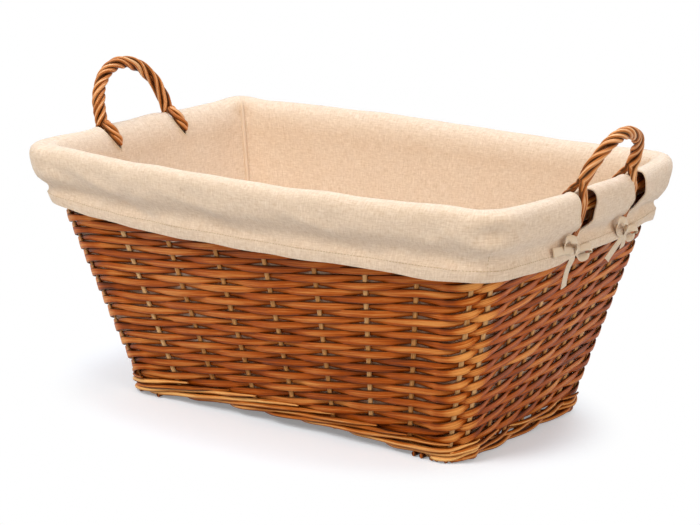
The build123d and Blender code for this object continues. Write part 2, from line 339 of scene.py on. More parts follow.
def new_material(name: str) -> tuple[Material, Tree]:
    """Make a material with an empty tree.

    Args:
        name: Name of the real material.

    Returns:
        The material and its tree.
    """
    made = bpy.data.materials.new(name)
    made.use_nodes = True
    made.node_tree.nodes.clear()
    return made, made.node_tree


# ---------------------------------------------------------------- finishes


@dataclass(frozen=True)
class WillowFinish:
    """Steamed and varnished willow: honey-brown, satin, with fine streaks along the rod, a painted highlight along its
    middle and painted shade at its edges.
    """

    name: str
    dark: str
    middle: str
    light: str
    half_width_mm: float
    rim_shade: float = 0.5
    gloss: float = 0.3
    crown: float = 0.0
    streak_mm: float = 0.9
    streak_length_mm: float = 45.0
    patch_mm: float = 14.0
    patch_length_mm: float = 60.0
    roughness: float = 0.42
    bump_mm: float = 0.35
    varnish: str = "#FFD9A8"

    def material(self) -> Material:
        """Build the material from attributes that the sweep leaves on the rods.

        Returns:
            The material.
        """
        made, tree = new_material(self.name)
        run, across, strand, tone = (
            add_node(tree, "ShaderNodeAttribute", {"attribute_name": name}).outputs["Fac"]
            for name in ("run", "across", "strand", "tone")
        )
        place = add_node(tree, "ShaderNodeCombineXYZ", None, {0: run, 1: across, 2: strand}).outputs[0]
        # Streaks run along the rod: long in its length, narrow across it
        fine = (1000 / self.streak_length_mm, self.half_width_mm / self.streak_mm, 5.3)
        streaks = noise(tree, place, fine, 4.0, 0.7)
        # Broad patches where the bark stain took more or less
        broad = (1000 / self.patch_length_mm, self.half_width_mm / self.patch_mm, 3.7)
        patches = noise(tree, place, broad, 1.0)
        level = calc(tree, "MULTIPLY_ADD", streaks, 1.3, -0.65)
        level = calc(tree, "MULTIPLY_ADD", patches, 0.5, level)
        level = calc(tree, "MULTIPLY_ADD", tone, 0.55, level)
        # Painted highlight and shade: the middle of the rod's face is drawn paler than its sides, as where light falls
        # on a crowned rod
        edge = calc(tree, "ABSOLUTE", across)
        painted_crown_shading = mapped(tree, edge, (0.0, 0.75), (self.crown, -self.crown))
        level = calc(tree, "SUBTRACT", calc(tree, "ADD", level, painted_crown_shading), 0.025)
        ramp = add_node(tree, "ShaderNodeValToRGB", None, {"Fac": level})
        stops = ramp.color_ramp.elements
        stops[0].position, stops[0].color = 0.12, linear(self.dark)
        stops[1].position, stops[1].color = 0.92, linear(self.light)
        stops.new(0.5).color = linear(self.middle)
        # Painted shade: the thin edges are drawn darker, as the shadow lines between strips and in the grooves between
        # rods
        shade = mapped(tree, edge, (0.7, 1.0), (1.0, self.rim_shade))
        multiply = {"data_type": "RGBA", "blend_type": "MULTIPLY"}
        colour = add_node(tree, "ShaderNodeMix", multiply, {0: 1.0, 6: ramp.outputs[0], 7: shade})
        rough = (self.roughness - 0.1, self.roughness + 0.14)
        relief = {"Strength": 0.35, "Distance": self.bump_mm * MM, "Height": streaks}
        shader = add_node(
            tree,
            "ShaderNodeBsdfPrincipled",
            None,
            {
                "Base Color": colour.outputs[2],
                "Roughness": mapped(tree, streaks, (0.0, 1.0), rough, "LINEAR"),
                "IOR": 1.48,
                "Specular IOR Level": self.gloss,
                "Specular Tint": linear(self.varnish),
                "Normal": add_node(tree, "ShaderNodeBump", None, relief).outputs[0],
            },
        )
        add_node(tree, "ShaderNodeOutputMaterial", None, {0: shader.outputs[0]})
        return made


@dataclass(frozen=True)
class LinenFinish:
    """Unbleached plain-woven linen: matt beige with slubs along both threads."""

    name: str
    dark: str
    light: str
    thread_mm: float = 1.2
    slub_mm: float = 11.0
    speck_mm: float = 3.2
    roughness: float = 0.92
    bump_mm: float = 0.4
    glow_mm: float = 2.0

    def material(self) -> Material:
        """Build the material on the cloth's own map, which is laid out in metres.

        Returns:
            The material.
        """
        made, tree = new_material(self.name)
        cloth = add_node(tree, "ShaderNodeUVMap", {"uv_map": "cloth"}).outputs[0]
        # Threads are under a millimetre apart, too fine for the picture, so slubs are drawn at twice that
        fine, slow = 1000 / self.thread_mm, 1000 / self.slub_mm
        threads = [noise(tree, cloth, scale, 3.0, 0.65) for scale in ((slow, fine, 1.0), (fine, slow, 1.0))]
        speck = noise(tree, cloth, (1000 / self.speck_mm,) * 3, 3.0, 0.65)
        grain = calc(tree, "MULTIPLY_ADD", speck, 0.8, calc(tree, "ADD", *threads))
        level = mapped(tree, grain, (0.9, 1.86), (0.0, 1.0), "LINEAR")
        ends = {0: level, 6: linear(self.dark), 7: linear(self.light)}
        relief = {"Strength": 0.25, "Distance": self.bump_mm * MM, "Height": grain}
        shader = add_node(
            tree,
            "ShaderNodeBsdfPrincipled",
            None,
            {
                "Base Color": add_node(tree, "ShaderNodeMix", {"data_type": "RGBA"}, ends).outputs[2],
                "Roughness": self.roughness,
                "Specular IOR Level": 0.2,
                "Sheen Weight": 0.12,
                "Sheen Roughness": 0.6,
                "Subsurface Weight": 0.25,
                "Subsurface Radius": (1.0, 0.85, 0.65),
                "Subsurface Scale": self.glow_mm * MM,
                "Normal": add_node(tree, "ShaderNodeBump", None, relief).outputs[0],
            },
        )
        add_node(tree, "ShaderNodeOutputMaterial", None, {0: shader.outputs[0]})
        return made


# Split willow, brown from steaming in its bark, under a satin varnish
STRIP_FINISH = WillowFinish("split_willow", "#561C00", "#B24F08", "#EFA052", 5.0, rim_shade=0.1, gloss=0.24, crown=0.08)
# Round willow stakes, drier and paler than the strips over them
STAKE_FINISH = WillowFinish("stake_willow", "#96561F", "#C88A4C", "#EABF88", 3.1, rim_shade=0.8)
# Thin whole rods of the foot and border, golden in patches where the bark has rubbed off, with a painted highlight
# along the middle of each rod
ROD_FINISH = WillowFinish("rod_willow", "#521C00", "#BE6218", "#FBBE72", 2.4, rim_shade=0.12, gloss=0.34, crown=0.18)
# Soaked and twisted handle rods, redder and smoother
HANDLE_FINISH = WillowFinish("roped_willow", "#6E2A06", "#C47436", "#FACB96", 3.0, rim_shade=0.2, gloss=0.4, crown=0.14)
# Cloth of the lining, and the narrower tape cut from the same cloth
LINEN_FINISH = LinenFinish("lining_linen", "#CBAB89", "#F2DCC3")
TAPE_FINISH = LinenFinish("tape_linen", "#CBAF8C", "#F0DCC2", thread_mm=1.4)
# Sewing thread of the hem, a shade darker than the cloth
THREAD_FINISH = LinenFinish("hem_thread", "#BA9C78", "#D0B48E")


@dataclass
class Finishes:
    """The materials, made once and shared by the pieces."""

    strip: Material = field(default_factory=STRIP_FINISH.material)
    stake: Material = field(default_factory=STAKE_FINISH.material)
    rod: Material = field(default_factory=ROD_FINISH.material)
    handle: Material = field(default_factory=HANDLE_FINISH.material)
    linen: Material = field(default_factory=LINEN_FINISH.material)
    tape: Material = field(default_factory=TAPE_FINISH.material)
    thread: Material = field(default_factory=THREAD_FINISH.material)


# ---------------------------------------------------------------- node trees


def tree_inputs(tree: Tree, sizes: dict[str, str]) -> bpy.types.NodeOutputs:
    """Give a tree its geometry, sizes and material as named inputs.

    Args:
        tree: The new tree.
        sizes: Socket types by input name.

    Returns:
        The sockets that hold them inside the tree.
    """
    kinds = {"Geometry": "NodeSocketGeometry", **sizes, "Material": "NodeSocketMaterial"}
    for name, kind in kinds.items():
        tree.interface.new_socket(name, in_out="INPUT", socket_type=kind)
    tree.interface.new_socket("Geometry", in_out="OUTPUT", socket_type="NodeSocketGeometry")
    return add_node(tree, "NodeGroupInput").outputs


def finish_tree(tree: Tree, shape: Socket, material: Socket) -> None:
    """End a tree in smooth shading, Realize Instances and Set Material.

    Args:
        tree: The tree.
        shape: What it has made.
        material: The finish.
    """
    smooth = add_node(tree, "GeometryNodeSetShadeSmooth", None, {0: shape})
    real = add_node(tree, "GeometryNodeRealizeInstances", None, {0: smooth.outputs[0]})
    dressed = add_node(tree, "GeometryNodeSetMaterial", None, {"Geometry": real.outputs[0], "Material": material})
    add_node(tree, "NodeGroupOutput", None, {0: dressed.outputs[0]})


def sweep_tree() -> Tree:
    """Tree that sweeps a rod or strip section along every run of a mesh of edges.

    Returns:
        The tree.
    """
    tree = bpy.data.node_groups.new("rod_sweep", "GeometryNodeTree")
    kinds = dict.fromkeys(("Width", "Crown", "Back", "Flat"), "NodeSocketFloat")
    given = tree_inputs(tree, {**kinds, "Corners": "NodeSocketInt"})
    facing, wide = (
        add_node(tree, "GeometryNodeInputNamedAttribute", {"data_type": kind}, {"Name": name}).outputs[0]
        for name, kind in (("facing", "FLOAT_VECTOR"), ("wide", "FLOAT"))
    )
    curve = add_node(tree, "GeometryNodeMeshToCurve", None, {"Mesh": given["Geometry"]}).outputs[0]
    curve = add_node(tree, "GeometryNodeSetCurveNormal", {"mode": "FREE"}, {"Curve": curve, "Normal": facing})
    ring = {"Resolution": given["Corners"], "Radius": 1.0}
    circle = add_node(tree, "GeometryNodeCurvePrimitiveCircle", None, ring).outputs[0]
    spot = add_node(tree, "GeometryNodeInputPosition").outputs[0]
    deep, across, _ = add_node(tree, "ShaderNodeSeparateXYZ", None, {0: spot}).outputs
    point = {"data_type": "FLOAT", "domain": "POINT"}
    marks = {"Geometry": circle, "Name": "across", "Value": across}
    marked = add_node(tree, "GeometryNodeStoreNamedAttribute", point, marks).outputs[0]
    # The face side of the section is crowned, or flat with round edges, and the back is flatter
    level = calc(tree, "MULTIPLY", deep, calc(tree, "ADD", given["Flat"], 1.0))
    face = calc(tree, "MAXIMUM", calc(tree, "MINIMUM", level, 1.0), 0.0)
    back = calc(tree, "MULTIPLY", calc(tree, "MINIMUM", deep, 0.0), given["Back"])
    depth = calc(tree, "MULTIPLY_ADD", face, given["Crown"], back)
    height = calc(tree, "MULTIPLY", across, calc(tree, "MULTIPLY", given["Width"], 0.5))
    corner = add_node(tree, "ShaderNodeCombineXYZ", None, {0: depth, 1: height}).outputs[0]
    section = add_node(tree, "GeometryNodeSetPosition", None, {"Geometry": marked, "Position": corner})
    parts = {"Curve": curve.outputs[0], "Profile Curve": section.outputs[0], "Scale": wide, "Fill Caps": True}
    swept = add_node(tree, "GeometryNodeCurveToMesh", None, parts)
    finish_tree(tree, swept.outputs[0], given["Material"])
    return tree


def stitch_tree() -> Tree:
    """Tree that sets a short stitch at every step along the runs of a mesh of edges.

    Returns:
        The tree.
    """
    tree = bpy.data.node_groups.new("hem_stitches", "GeometryNodeTree")
    given = tree_inputs(tree, dict.fromkeys(("Spacing", "Length", "Thread"), "NodeSocketFloat"))
    curve = add_node(tree, "GeometryNodeMeshToCurve", None, {"Mesh": given["Geometry"]}).outputs[0]
    step = {"Curve": curve, "Length": given["Spacing"]}
    spots = add_node(tree, "GeometryNodeCurveToPoints", {"mode": "LENGTH"}, step).outputs
    along = add_node(tree, "FunctionNodeAlignRotationToVector", {"axis": "X"}, {"Vector": spots["Tangent"]})
    bead = add_node(tree, "GeometryNodeMeshIcoSphere", None, {"Radius": 0.5, "Subdivisions": 1})
    size = {0: given["Length"], 1: given["Thread"], 2: given["Thread"]}
    scale = add_node(tree, "ShaderNodeCombineXYZ", None, size)
    beads = {"Instance": bead.outputs[0], "Rotation": along.outputs[0], "Scale": scale.outputs[0]}
    sewn = add_node(tree, "GeometryNodeInstanceOnPoints", None, {"Points": spots[0], **beads})
    finish_tree(tree, sewn.outputs[0], given["Material"])
    return tree


def section(width: float, crown: float, back: float, corners: int, flat: float = 0.0) -> dict[str, float | int]:
    """Inputs of the sweep for a section given in millimetres."""
    return {"Width": width * MM, "Crown": crown * MM, "Back": back * MM, "Flat": flat, "Corners": corners}


def round_rod(corners: int) -> dict[str, float | int]:
    """Inputs of the sweep for a round rod of radius one, which the widths of the runs scale."""
    return section(2.0, 1.0, 1.0, corners)


@dataclass
class Runs:
    """Lines in space, in millimetres, that a node tree turns into rods, strips or stitches."""

    points: list[Array] = field(default_factory=list)
    facings: list[Array] = field(default_factory=list)
    widths: list[Array] = field(default_factory=list)
    tones: list[Array] = field(default_factory=list)

    def add(self, line: Array, facing: Array, wide: Array | float = 1.0, tone: Array | float = 0.5) -> None:
        """Add one line.

        Args:
            line: Points in order.
            facing: Which way the section's crown looks, for one or every point.
            wide: Share of the full section, for one or every point.
            tone: Shade of the rod from 0, dark, to 1, pale.
        """
        count = len(line)
        ahead = unit(np.gradient(line, axis=0))
        facing = np.broadcast_to(facing, (count, 3)).astype(float)
        self.points.append(np.asarray(line, float))
        self.facings.append(unit(facing - ahead * (facing * ahead).sum(1, keepdims=True)))
        self.widths.append(np.broadcast_to(wide, count).astype(float))
        self.tones.append(np.broadcast_to(tone, count).astype(float))

    def mesh(self, name: str) -> bpy.types.Mesh:
        """Lay the lines out as edges that carry what the tree and the finish read.

        Args:
            name: Name of the piece.

        Returns:
            A mesh of edges.
        """
        edges, start = [], 0
        for line in self.points:
            edges += [(i, i + 1) for i in range(start, start + len(line) - 1)]
            start += len(line)
        mesh = bpy.data.meshes.new(name)
        mesh.from_pydata((np.vstack(self.points) * MM).tolist(), edges, [])
        facing = mesh.attributes.new("facing", "FLOAT_VECTOR", "POINT")
        facing.data.foreach_set("vector", np.vstack(self.facings).ravel())
        values = {
            "wide": self.widths,
            "tone": self.tones,
            "run": [lengths(line) * MM for line in self.points],
            "strand": [np.full(len(line), float(i)) for i, line in enumerate(self.points)],
        }
        for label, rows in values.items():
            mesh.attributes.new(label, "FLOAT", "POINT").data.foreach_set("value", np.concatenate(rows))
        return mesh

    def grow(self, name: str, tree: Tree, sizes: dict[str, float | int], material: Material) -> Piece:
        """Turn the lines into one plain mesh.

        Args:
            name: Name of the piece.
            tree: The node tree that shapes it.
            sizes: Values of the tree's named inputs.
            material: The finish.

        Returns:
            The piece, at the origin, with no modifier left.
        """
        piece = placed(name, self.mesh(name))
        shaper = piece.modifiers.new("shape", "NODES")
        shaper.node_group = tree
        sockets = {s.name: s.identifier for s in tree.interface.items_tree if s.in_out == "INPUT"}
        for label, value in {**sizes, "Material": material}.items():
            shaper[sockets[label]] = value
        plain = made_plain(piece, shaper)
        for label in ("facing", "wide"):
            if label in plain.attributes:
                plain.attributes.remove(plain.attributes[label])
        return piece


# ---------------------------------------------------------------- plan of the basket


@dataclass(frozen=True)
class Plan:
    """Sizes of the flared, bowed wall on the line of its stakes, in millimetres."""

    height: float = 280.0
    base_half: tuple[float, float] = (214.0, 112.6)
    rim_half: tuple[float, float] = (295.3, 177.5)
    base_radius: float = 30.0
    rim_radius: float = 40.0
    long_bow: float = 22.0
    short_bow: float = 12.0
    long_stakes: int = 9
    short_stakes: int = 7
    arch: float = 7.0
    arch_top: float = 120.0
    corner_inset: float = 0.134
    corner_push: float = 2.9
    stake_skew: float = 0.065
    pulled: tuple[float, float] = (-2.0, 6.5)

    @property
    def total(self) -> int:
        """How many stakes the four walls have."""
        return 2 * (self.long_stakes + self.short_stakes)

    def sizes(self, is_long: bool, z: float) -> tuple[float, float, float, float]:
        """Sizes of a wall at a height.

        Args:
            is_long: True for the front and back walls.
            z: The height.

        Returns:
            Half-length, distance from the middle, corner radius and bow.
        """
        share = z / self.height
        length = self.base_half[0] + (self.rim_half[0] - self.base_half[0]) * share
        width = self.base_half[1] + (self.rim_half[1] - self.base_half[1]) * share
        radius = self.base_radius + (self.rim_radius - self.base_radius) * share
        if is_long:
            return length, width, radius, self.long_bow * share
        return width, length, radius, self.short_bow * share

    def turned(self, side: Side, points: Array) -> Array:
        """Turn points of the front wall round to another wall.

        Args:
            side: The other wall.
            points: Points whose first two numbers are along and across the front wall.

        Returns:
            The turned points.
        """
        quarter = side.value * math.pi / 2
        c, s = round(math.cos(quarter)), round(math.sin(quarter))
        x, y = points[..., 0], points[..., 1]
        moved = np.array(points, float)
        moved[..., 0], moved[..., 1] = c * x - s * y, s * x + c * y
        return moved

    def stake_count(self, side: Side) -> int:
        """How many stakes a wall has, with its two corner stakes."""
        return self.long_stakes if side.is_long else self.short_stakes

    def first_stake(self, side: Side) -> int:
        """Place of a wall's first stake in the ring."""
        return sum(self.stake_count(s) for s in Side if s.value < side.value)

    def stake_shares(self, side: Side) -> Array:
        """Places of a wall's stakes from -1 to 1; those of the long walls close up towards one end."""
        even = np.linspace(-1.0, 1.0, self.stake_count(side))
        return even + (self.stake_skew if side.is_long else 0.0) * (1 - even**2)

    def wall_stakes(self, side: Side, z: float) -> Array:
        """Stake places of one wall in plan.

        Args:
            side: The wall.
            z: The height.

        Returns:
            A point for each stake.
        """
        along, depth, radius, bow = self.sizes(side.is_long, z)
        last = self.stake_count(side) - 1
        s = (along - 0.5 * radius) * self.stake_shares(side)
        y = -depth - bow * (1 - (s / (along - radius)) ** 2)
        y[0] = y[last] = self.corner_inset * radius - depth - self.corner_push
        s[0], s[last] = s[0] - self.corner_push, s[last] + self.corner_push
        return self.turned(side, np.stack([s, y], axis=1))

    def stakes(self, z: float) -> Array:
        """All stake places in plan.

        Args:
            z: The height.

        Returns:
            A point for each stake, round from the front left corner.
        """
        ring = np.vstack([self.wall_stakes(side, z) for side in Side])
        # The front left corner is pulled out of true
        low, high = self.pulled
        ring[[0, -1]] += (low + (high - low) * z / self.height) * np.array([-0.707, -0.707])
        return ring

    def on_stakes(self, stakes: Array, heights: Array) -> Array:
        """Points on stakes.

        Args:
            stakes: Places of the stakes in the ring.
            heights: The height on each.

        Returns:
            The points.
        """
        share = (heights / self.height)[:, None]
        low, high = self.stakes(0.0)[stakes], self.stakes(self.height)[stakes]
        return np.hstack([low + (high - low) * share, heights[:, None]])

    def ring(self, height: float) -> Array:
        """Points on all the stakes at one height."""
        return self.on_stakes(np.arange(self.total), np.full(self.total, height))

    def lift(self, z: float) -> Array:
        """How far the arched long walls raise a row.

        Args:
            z: Height of the row.

        Returns:
            The rise at each stake.
        """
        lifts = []
        for side in Side:
            rise = np.zeros(self.stake_count(side))
            if side.is_long:
                along, _, radius, _ = self.sizes(True, 0.0)
                s = (along - 0.5 * radius) * self.stake_shares(side)
                rise = np.maximum(self.arch * (1 - (s / (along - radius)) ** 2), 0.0)
            lifts.append(rise)
        return np.concatenate(lifts) * max(0.0, 1 - z / self.arch_top)

    def rim_out(self, y: float, z: float) -> float:
        """Distance from the middle to the stake line of a short wall."""
        along, depth, radius, bow = self.sizes(False, z)
        return depth + bow * (1 - (y / (along - radius)) ** 2)

    def wall_span(self, side: Side, samples: int) -> Array:
        """Places of a wall, from mid corner to mid corner, in a ring of so many samples per stake."""
        first = self.first_stake(side) - 0.5
        return np.arange(int(first * samples), int((first + self.stake_count(side)) * samples) + 1)


def outward(line: Array, lean: float, closed: bool = True) -> tuple[Array, Array]:
    """Directions square to a run round the wall.

    Args:
        line: Points of the run, anticlockwise from above.
        lean: How far the wall leans out per unit of height.
        closed: True for a ring.

    Returns:
        The level outward direction, and the wall's face direction, which looks slightly down.
    """
    ahead = np.roll(line, -1, axis=0) - np.roll(line, 1, axis=0) if closed else np.gradient(line, axis=0)
    level = unit(np.stack([ahead[:, 1], -ahead[:, 0], np.zeros(len(line))], axis=1))
    return level, unit(level - UP * lean)


# ---------------------------------------------------------------- woven wall


@dataclass
class WovenWall:
    """Stakes, woven strips, the foot band and the border of the four walls."""

    plan: Plan
    looks: Finishes
    sweep: Tree
    samples: int = 8
    seed: int = 11
    rows: int = 28
    first_row: float = 27.5
    pitch: float = 7.85
    row_wobble: float = 0.5
    strip_width: float = 10.2
    strip_full: float = 0.91
    strip_taper: float = 0.58
    strip_spread: float = 0.04
    strip_tones: tuple[float, float] = (0.3, 0.64)
    strip_crown: float = 1.5
    strip_back: float = 0.5
    strip_flat: float = 0.75
    strip_swing: float = 2.1
    corner_bays: float = 0.62
    corner_share: float = 0.44
    corner_hump: float = 1.6
    pinch_bay: float = 0.86
    pinch_bays: float = 0.15
    pinch_share: float = 0.25
    lean: float = 0.29
    stake_radius: float = 3.0
    corner_radius: float = 2.6
    stake_depth: float = 0.5
    stake_foot: float = 3.0
    stake_top: float = 253.0
    band_z: float = 10.0
    band_radius: float = 2.7
    band_offset: float = 5.6
    band_bays: float = 4.0
    band_rise: float = 19.0
    band_inside: float = -3.0
    band_past: tuple[float, float] = (1.6, 0.6)
    band_weave: float = 1.9
    tip_spread: float = 0.12
    hidden_rows: tuple[float, ...] = (5.0, 10.5, 16.0, 21.0)
    hidden_radius: float = 3.0
    pair_rows: tuple[float, ...] = (4.8, 11.6, 18.2)
    pair_past: tuple[float, float] = (-0.95, -0.05)
    pair_turn: float = 0.56
    pair_high: float = 2.5
    pair_deep: float = 5.0
    pair_out: float = 0.6
    stub_reach: tuple[float, float] = (-9.0, 7.0)
    stub_spread: float = 0.04
    stub_z: float = 2.3
    stub_low: float = 2.9
    border_z: float = 262.0
    border_rods: int = 4
    border_turns: int = 10
    border_helix: float = 3.5
    border_rod: float = 3.1

    def strip(
        self, runs: Runs, side: Side, start: int, line: Array, station: Array, tone: float, girth: float
    ) -> None:
        """Add one strip's way along a wall.

        Args:
            runs: The wall's strips so far.
            side: The wall.
            start: The strip's row at the ring's first stake.
            line: Points on the stake line.
            station: The points' places in the ring, counted in stakes.
            tone: The strip's own shade.
            girth: The strip's own width, where 1 is usual.
        """
        first, count = self.plan.first_stake(side), self.plan.stake_count(side)
        rank, name = start + station, start % self.plan.total
        level, facing = outward(line, self.lean, closed=False)
        # Over the stake in even rows, under it in odd ones
        swing = np.cos(np.pi * rank)
        over = np.maximum(swing, 0.0)
        inward = count / 2 - np.abs(station - first - count / 2 + 0.5)
        bend = bell(inward, self.corner_bays)
        # Bent hard round the corner stake, it is pinched just before it
        pinch = bell(inward - self.pinch_bay, self.pinch_bays) * over
        line = line + level * (self.strip_swing * swing + self.corner_hump * bend * over)[:, None]
        # A strip is widest over its stake, and drawn to a tip under the next, where the lining shows
        apart = np.abs(rank - 2 * np.round(rank / 2))
        share = (self.strip_full - self.strip_taper * apart**3.0) * girth
        share = share * (1 + 0.05 * waves(rank, 9.0, 100 + name))
        line[:, 2] += 0.2 * apart**2
        # Strips close up where they turn a corner, and a painted highlight stands for the light they catch there
        share = (share + bend * np.maximum(self.corner_share - share, 0.0)) * (1 - self.pinch_share * pinch)
        # The strip's own uneven tone, with a painted highlight over each stake where the strip bulges out
        tone = tone + 0.2 * waves(rank, 5.0, 200 + name) + 0.08 * swing
        # Painted highlight round the corner, and painted shade at the pinch before the corner stake
        tone = tone + (0.15 + 0.45 * swing) * bend - 0.6 * pinch
        keep = (inward >= 0) & (rank >= -1.4) & (rank <= self.rows - 0.4)
        if keep.sum() > 2:
            runs.add(line[keep], facing[keep], share[keep], tone[keep])

    def strips(self) -> None:
        """Weave the strips, each over one stake and under the next, climbing a row at every stake."""
        plan, total = self.plan, self.plan.total
        chance = np.random.default_rng(self.seed)
        wobble = chance.normal(0, self.row_wobble, (total, self.rows + 4))
        tones = chance.uniform(*self.strip_tones, total)
        girths = chance.normal(1.0, self.strip_spread, total)
        lift = np.array([plan.lift(self.first_row + self.pitch * row) for row in range(-2, self.rows + 2)])
        sizes = section(self.strip_width, self.strip_crown, self.strip_back, 12, self.strip_flat)
        for side in Side:
            runs = Runs()
            first, count = plan.first_stake(side), plan.stake_count(side)
            for start in range(-first - count, self.rows - first + 1):
                g = np.arange(max(first - 2, -2 - start), min(first + count + 2, self.rows + 1 - start))
                row = start + g
                heights = self.first_row + self.pitch * row + lift[row + 2, g % total] + wobble[g % total, row + 2]
                line = smooth_run(plan.on_stakes(g % total, heights), self.samples)
                station = g[0] + np.arange(len(line)) / self.samples
                name = start % total
                self.strip(runs, side, start, line, station, tones[name], girths[name])
            piece = runs.grow(f"woven_strips_{side.word}", self.sweep, sizes, self.looks.strip)
            settle(piece, Slot.STRIP, f"weave_{side.word}")

    def stakes(self) -> None:
        """Stand the stakes up along the wall's slope."""
        chance = np.random.default_rng(self.seed + 1)
        sizes = section(2.0, self.stake_depth, self.stake_depth, 10)
        for side in Side:
            runs = Runs()
            first, count = self.plan.first_stake(side), self.plan.stake_count(side)
            for g in range(first, first + count):
                heights = np.linspace(self.stake_foot + self.plan.lift(0.0)[g], self.stake_top, 24)
                line = self.plan.on_stakes(np.full(len(heights), g), heights)
                facing = self.plan.turned(side, np.array([(0.0, -1.0)]))[0]
                radius = self.stake_radius
                if g in (first, first + count - 1):
                    radius = self.corner_radius
                    facing = facing + 0.6 * np.sign(self.plan.stakes(0.0)[g]) * np.abs(facing[::-1])
                wide = radius * (1 + 0.05 * waves(heights, 70.0, 300 + g))
                runs.add(line, np.array([*facing, 0.0]), wide, chance.uniform(0.2, 0.9))
            piece = runs.grow(f"wall_stakes_{side.word}", self.sweep, sizes, self.looks.stake)
            settle(piece, Slot.STAKE, f"stakes_{side.word}")

    def band_line(self, station: Array, out: Array, z: Array) -> Array:
        """Points of a rod beside the foot of the wall.

        Args:
            station: Places round the wall, counted in stakes.
            out: Distance out from the stake line.
            z: Height above the basket's arched lower edge.

        Returns:
            Points in millimetres.
        """
        ring = smooth_run(self.plan.ring(self.band_z), self.samples, closed=True)
        level, _ = outward(ring, 0.0)
        lift = np.repeat(self.plan.lift(0.0)[:, None], 3, axis=1)
        lift = smooth_run(lift, self.samples, closed=True)[:, 0]
        where = np.arange(-1, len(ring) + 1)
        at = (station * self.samples) % len(ring)
        place, face = (
            np.stack([np.interp(at, where, table[where % len(ring), i]) for i in range(3)], axis=1)
            for table in (ring, level)
        )
        line = place + face * (out + self.lean * (z - self.band_z))[:, None]
        line[:, 2] = z + np.interp(at, where, lift[where % len(ring)])
        return line

    def long_foot(self, side: Side, runs: Runs, chance: Chance) -> None:
        """Bind the foot of a long wall with rods that climb past each other and end in thin tips.

        Args:
            side: The wall.
            runs: The wall's rods so far.
            chance: Source of the draws.
        """
        begin = self.plan.first_stake(side)
        first, last = begin - self.band_past[0], begin + self.plan.stake_count(side) + self.band_past[1]
        # The same rods pass behind the stakes, given the darkest tone as painted shade
        u = np.linspace(first + 0.9, last - 0.9, 80)
        for z in self.hidden_rows:
            line = self.band_line(u, np.full_like(u, self.band_inside), np.full_like(u, z))
            runs.add(line, level_out(line), self.hidden_radius, 0.0)
        for tip in np.arange(first + 0.75, last + self.band_bays, 1.0):
            tip = tip + chance.normal(0, self.tip_spread)
            butt = tip - self.band_bays
            low, high = max(butt, first), min(tip, last)
            if high - low < 0.4:
                continue
            u = np.linspace(low, high, int((high - low) * self.samples) + 4)
            climb = (u - butt) / self.band_bays
            ripple = 0.5 * waves(u, 2.5, int(600 + 10 * tip))
            z = self.band_radius + 0.4 + self.band_rise * climb**1.15 + ripple
            tuck = share_of(np.minimum(u - low, last - u), 0.5)
            out = self.band_inside + (self.band_offset - self.band_inside) * tuck * (2 - tuck)
            out = out + self.band_weave * tuck * np.sin(2.1 * u + 2.6 * tip)
            wide = self.band_radius * np.clip(0.4 + (tip - u) / 1.2, 0.0, 1.0)
            wide = wide * (1 + 0.08 * waves(u, 3.0, int(700 + 10 * tip)))
            line = self.band_line(u, out, z)
            runs.add(line, level_out(line), wide, chance.uniform(0.15, 1.0))

    def short_foot(self, side: Side, runs: Runs, chance: Chance) -> None:
        """Bind the foot of a short wall with loosely twined pairs of rods, and a single one on top.

        Args:
            side: The wall.
            runs: The wall's rods so far.
            chance: Source of the draws.
        """
        begin = self.plan.first_stake(side)
        first, last = begin + self.pair_past[0], begin + self.plan.stake_count(side) + self.pair_past[1]
        u = np.linspace(first, last, int((last - first) * self.samples))
        for pair, middle in enumerate(self.pair_rows):
            for rod in range(1 if pair == 2 else 2):
                turn = np.pi * (self.pair_turn * u + 0.37 * pair + rod) + 0.5 * waves(u, 4.0, 800 + pair)
                z = middle + self.pair_high * np.sin(turn) + 0.4 * waves(u, 2.0, 820 + 2 * pair + rod)
                out = self.pair_out + self.pair_deep * np.cos(turn)
                line = self.band_line(u, out, np.maximum(z, self.band_radius))
                wide = self.band_radius * (0.84 + 0.1 * waves(u, 3.0, 840 + 2 * pair + rod))
                runs.add(line, level_out(line), wide, chance.uniform(0.0, 0.6))

    def stubs(self, side: Side, runs: Runs, chance: Chance) -> None:
        """Leave the cut ends of the base's rods showing under the ends of a long wall's band.

        Args:
            side: The wall.
            runs: The wall's rods so far.
            chance: Source of the draws.
        """
        first, count = self.plan.first_stake(side), self.plan.stake_count(side)
        for spot in (0.1, 0.5, *np.linspace(count - 1.8, count - 0.8, 6)):
            station = np.full(6, first + spot + chance.normal(0, self.stub_spread))
            line = self.band_line(station, np.linspace(*self.stub_reach, 6), np.full(6, self.stub_z))
            line[:, 2] = self.stub_low + chance.uniform(0.0, 0.9)
            runs.add(line, UP, self.band_radius, 0.0)

    def foot_band(self) -> None:
        """Bind the foot of all four walls."""
        chance = np.random.default_rng(self.seed + 2)
        for side in Side:
            runs = Runs()
            if side.is_long:
                self.long_foot(side, runs, chance)
                self.stubs(side, runs, chance)
            else:
                self.short_foot(side, runs, chance)
            piece = runs.grow(f"foot_rods_{side.word}", self.sweep, round_rod(8), self.looks.rod)
            settle(piece, Slot.ROD, f"foot_band_{side.word}")

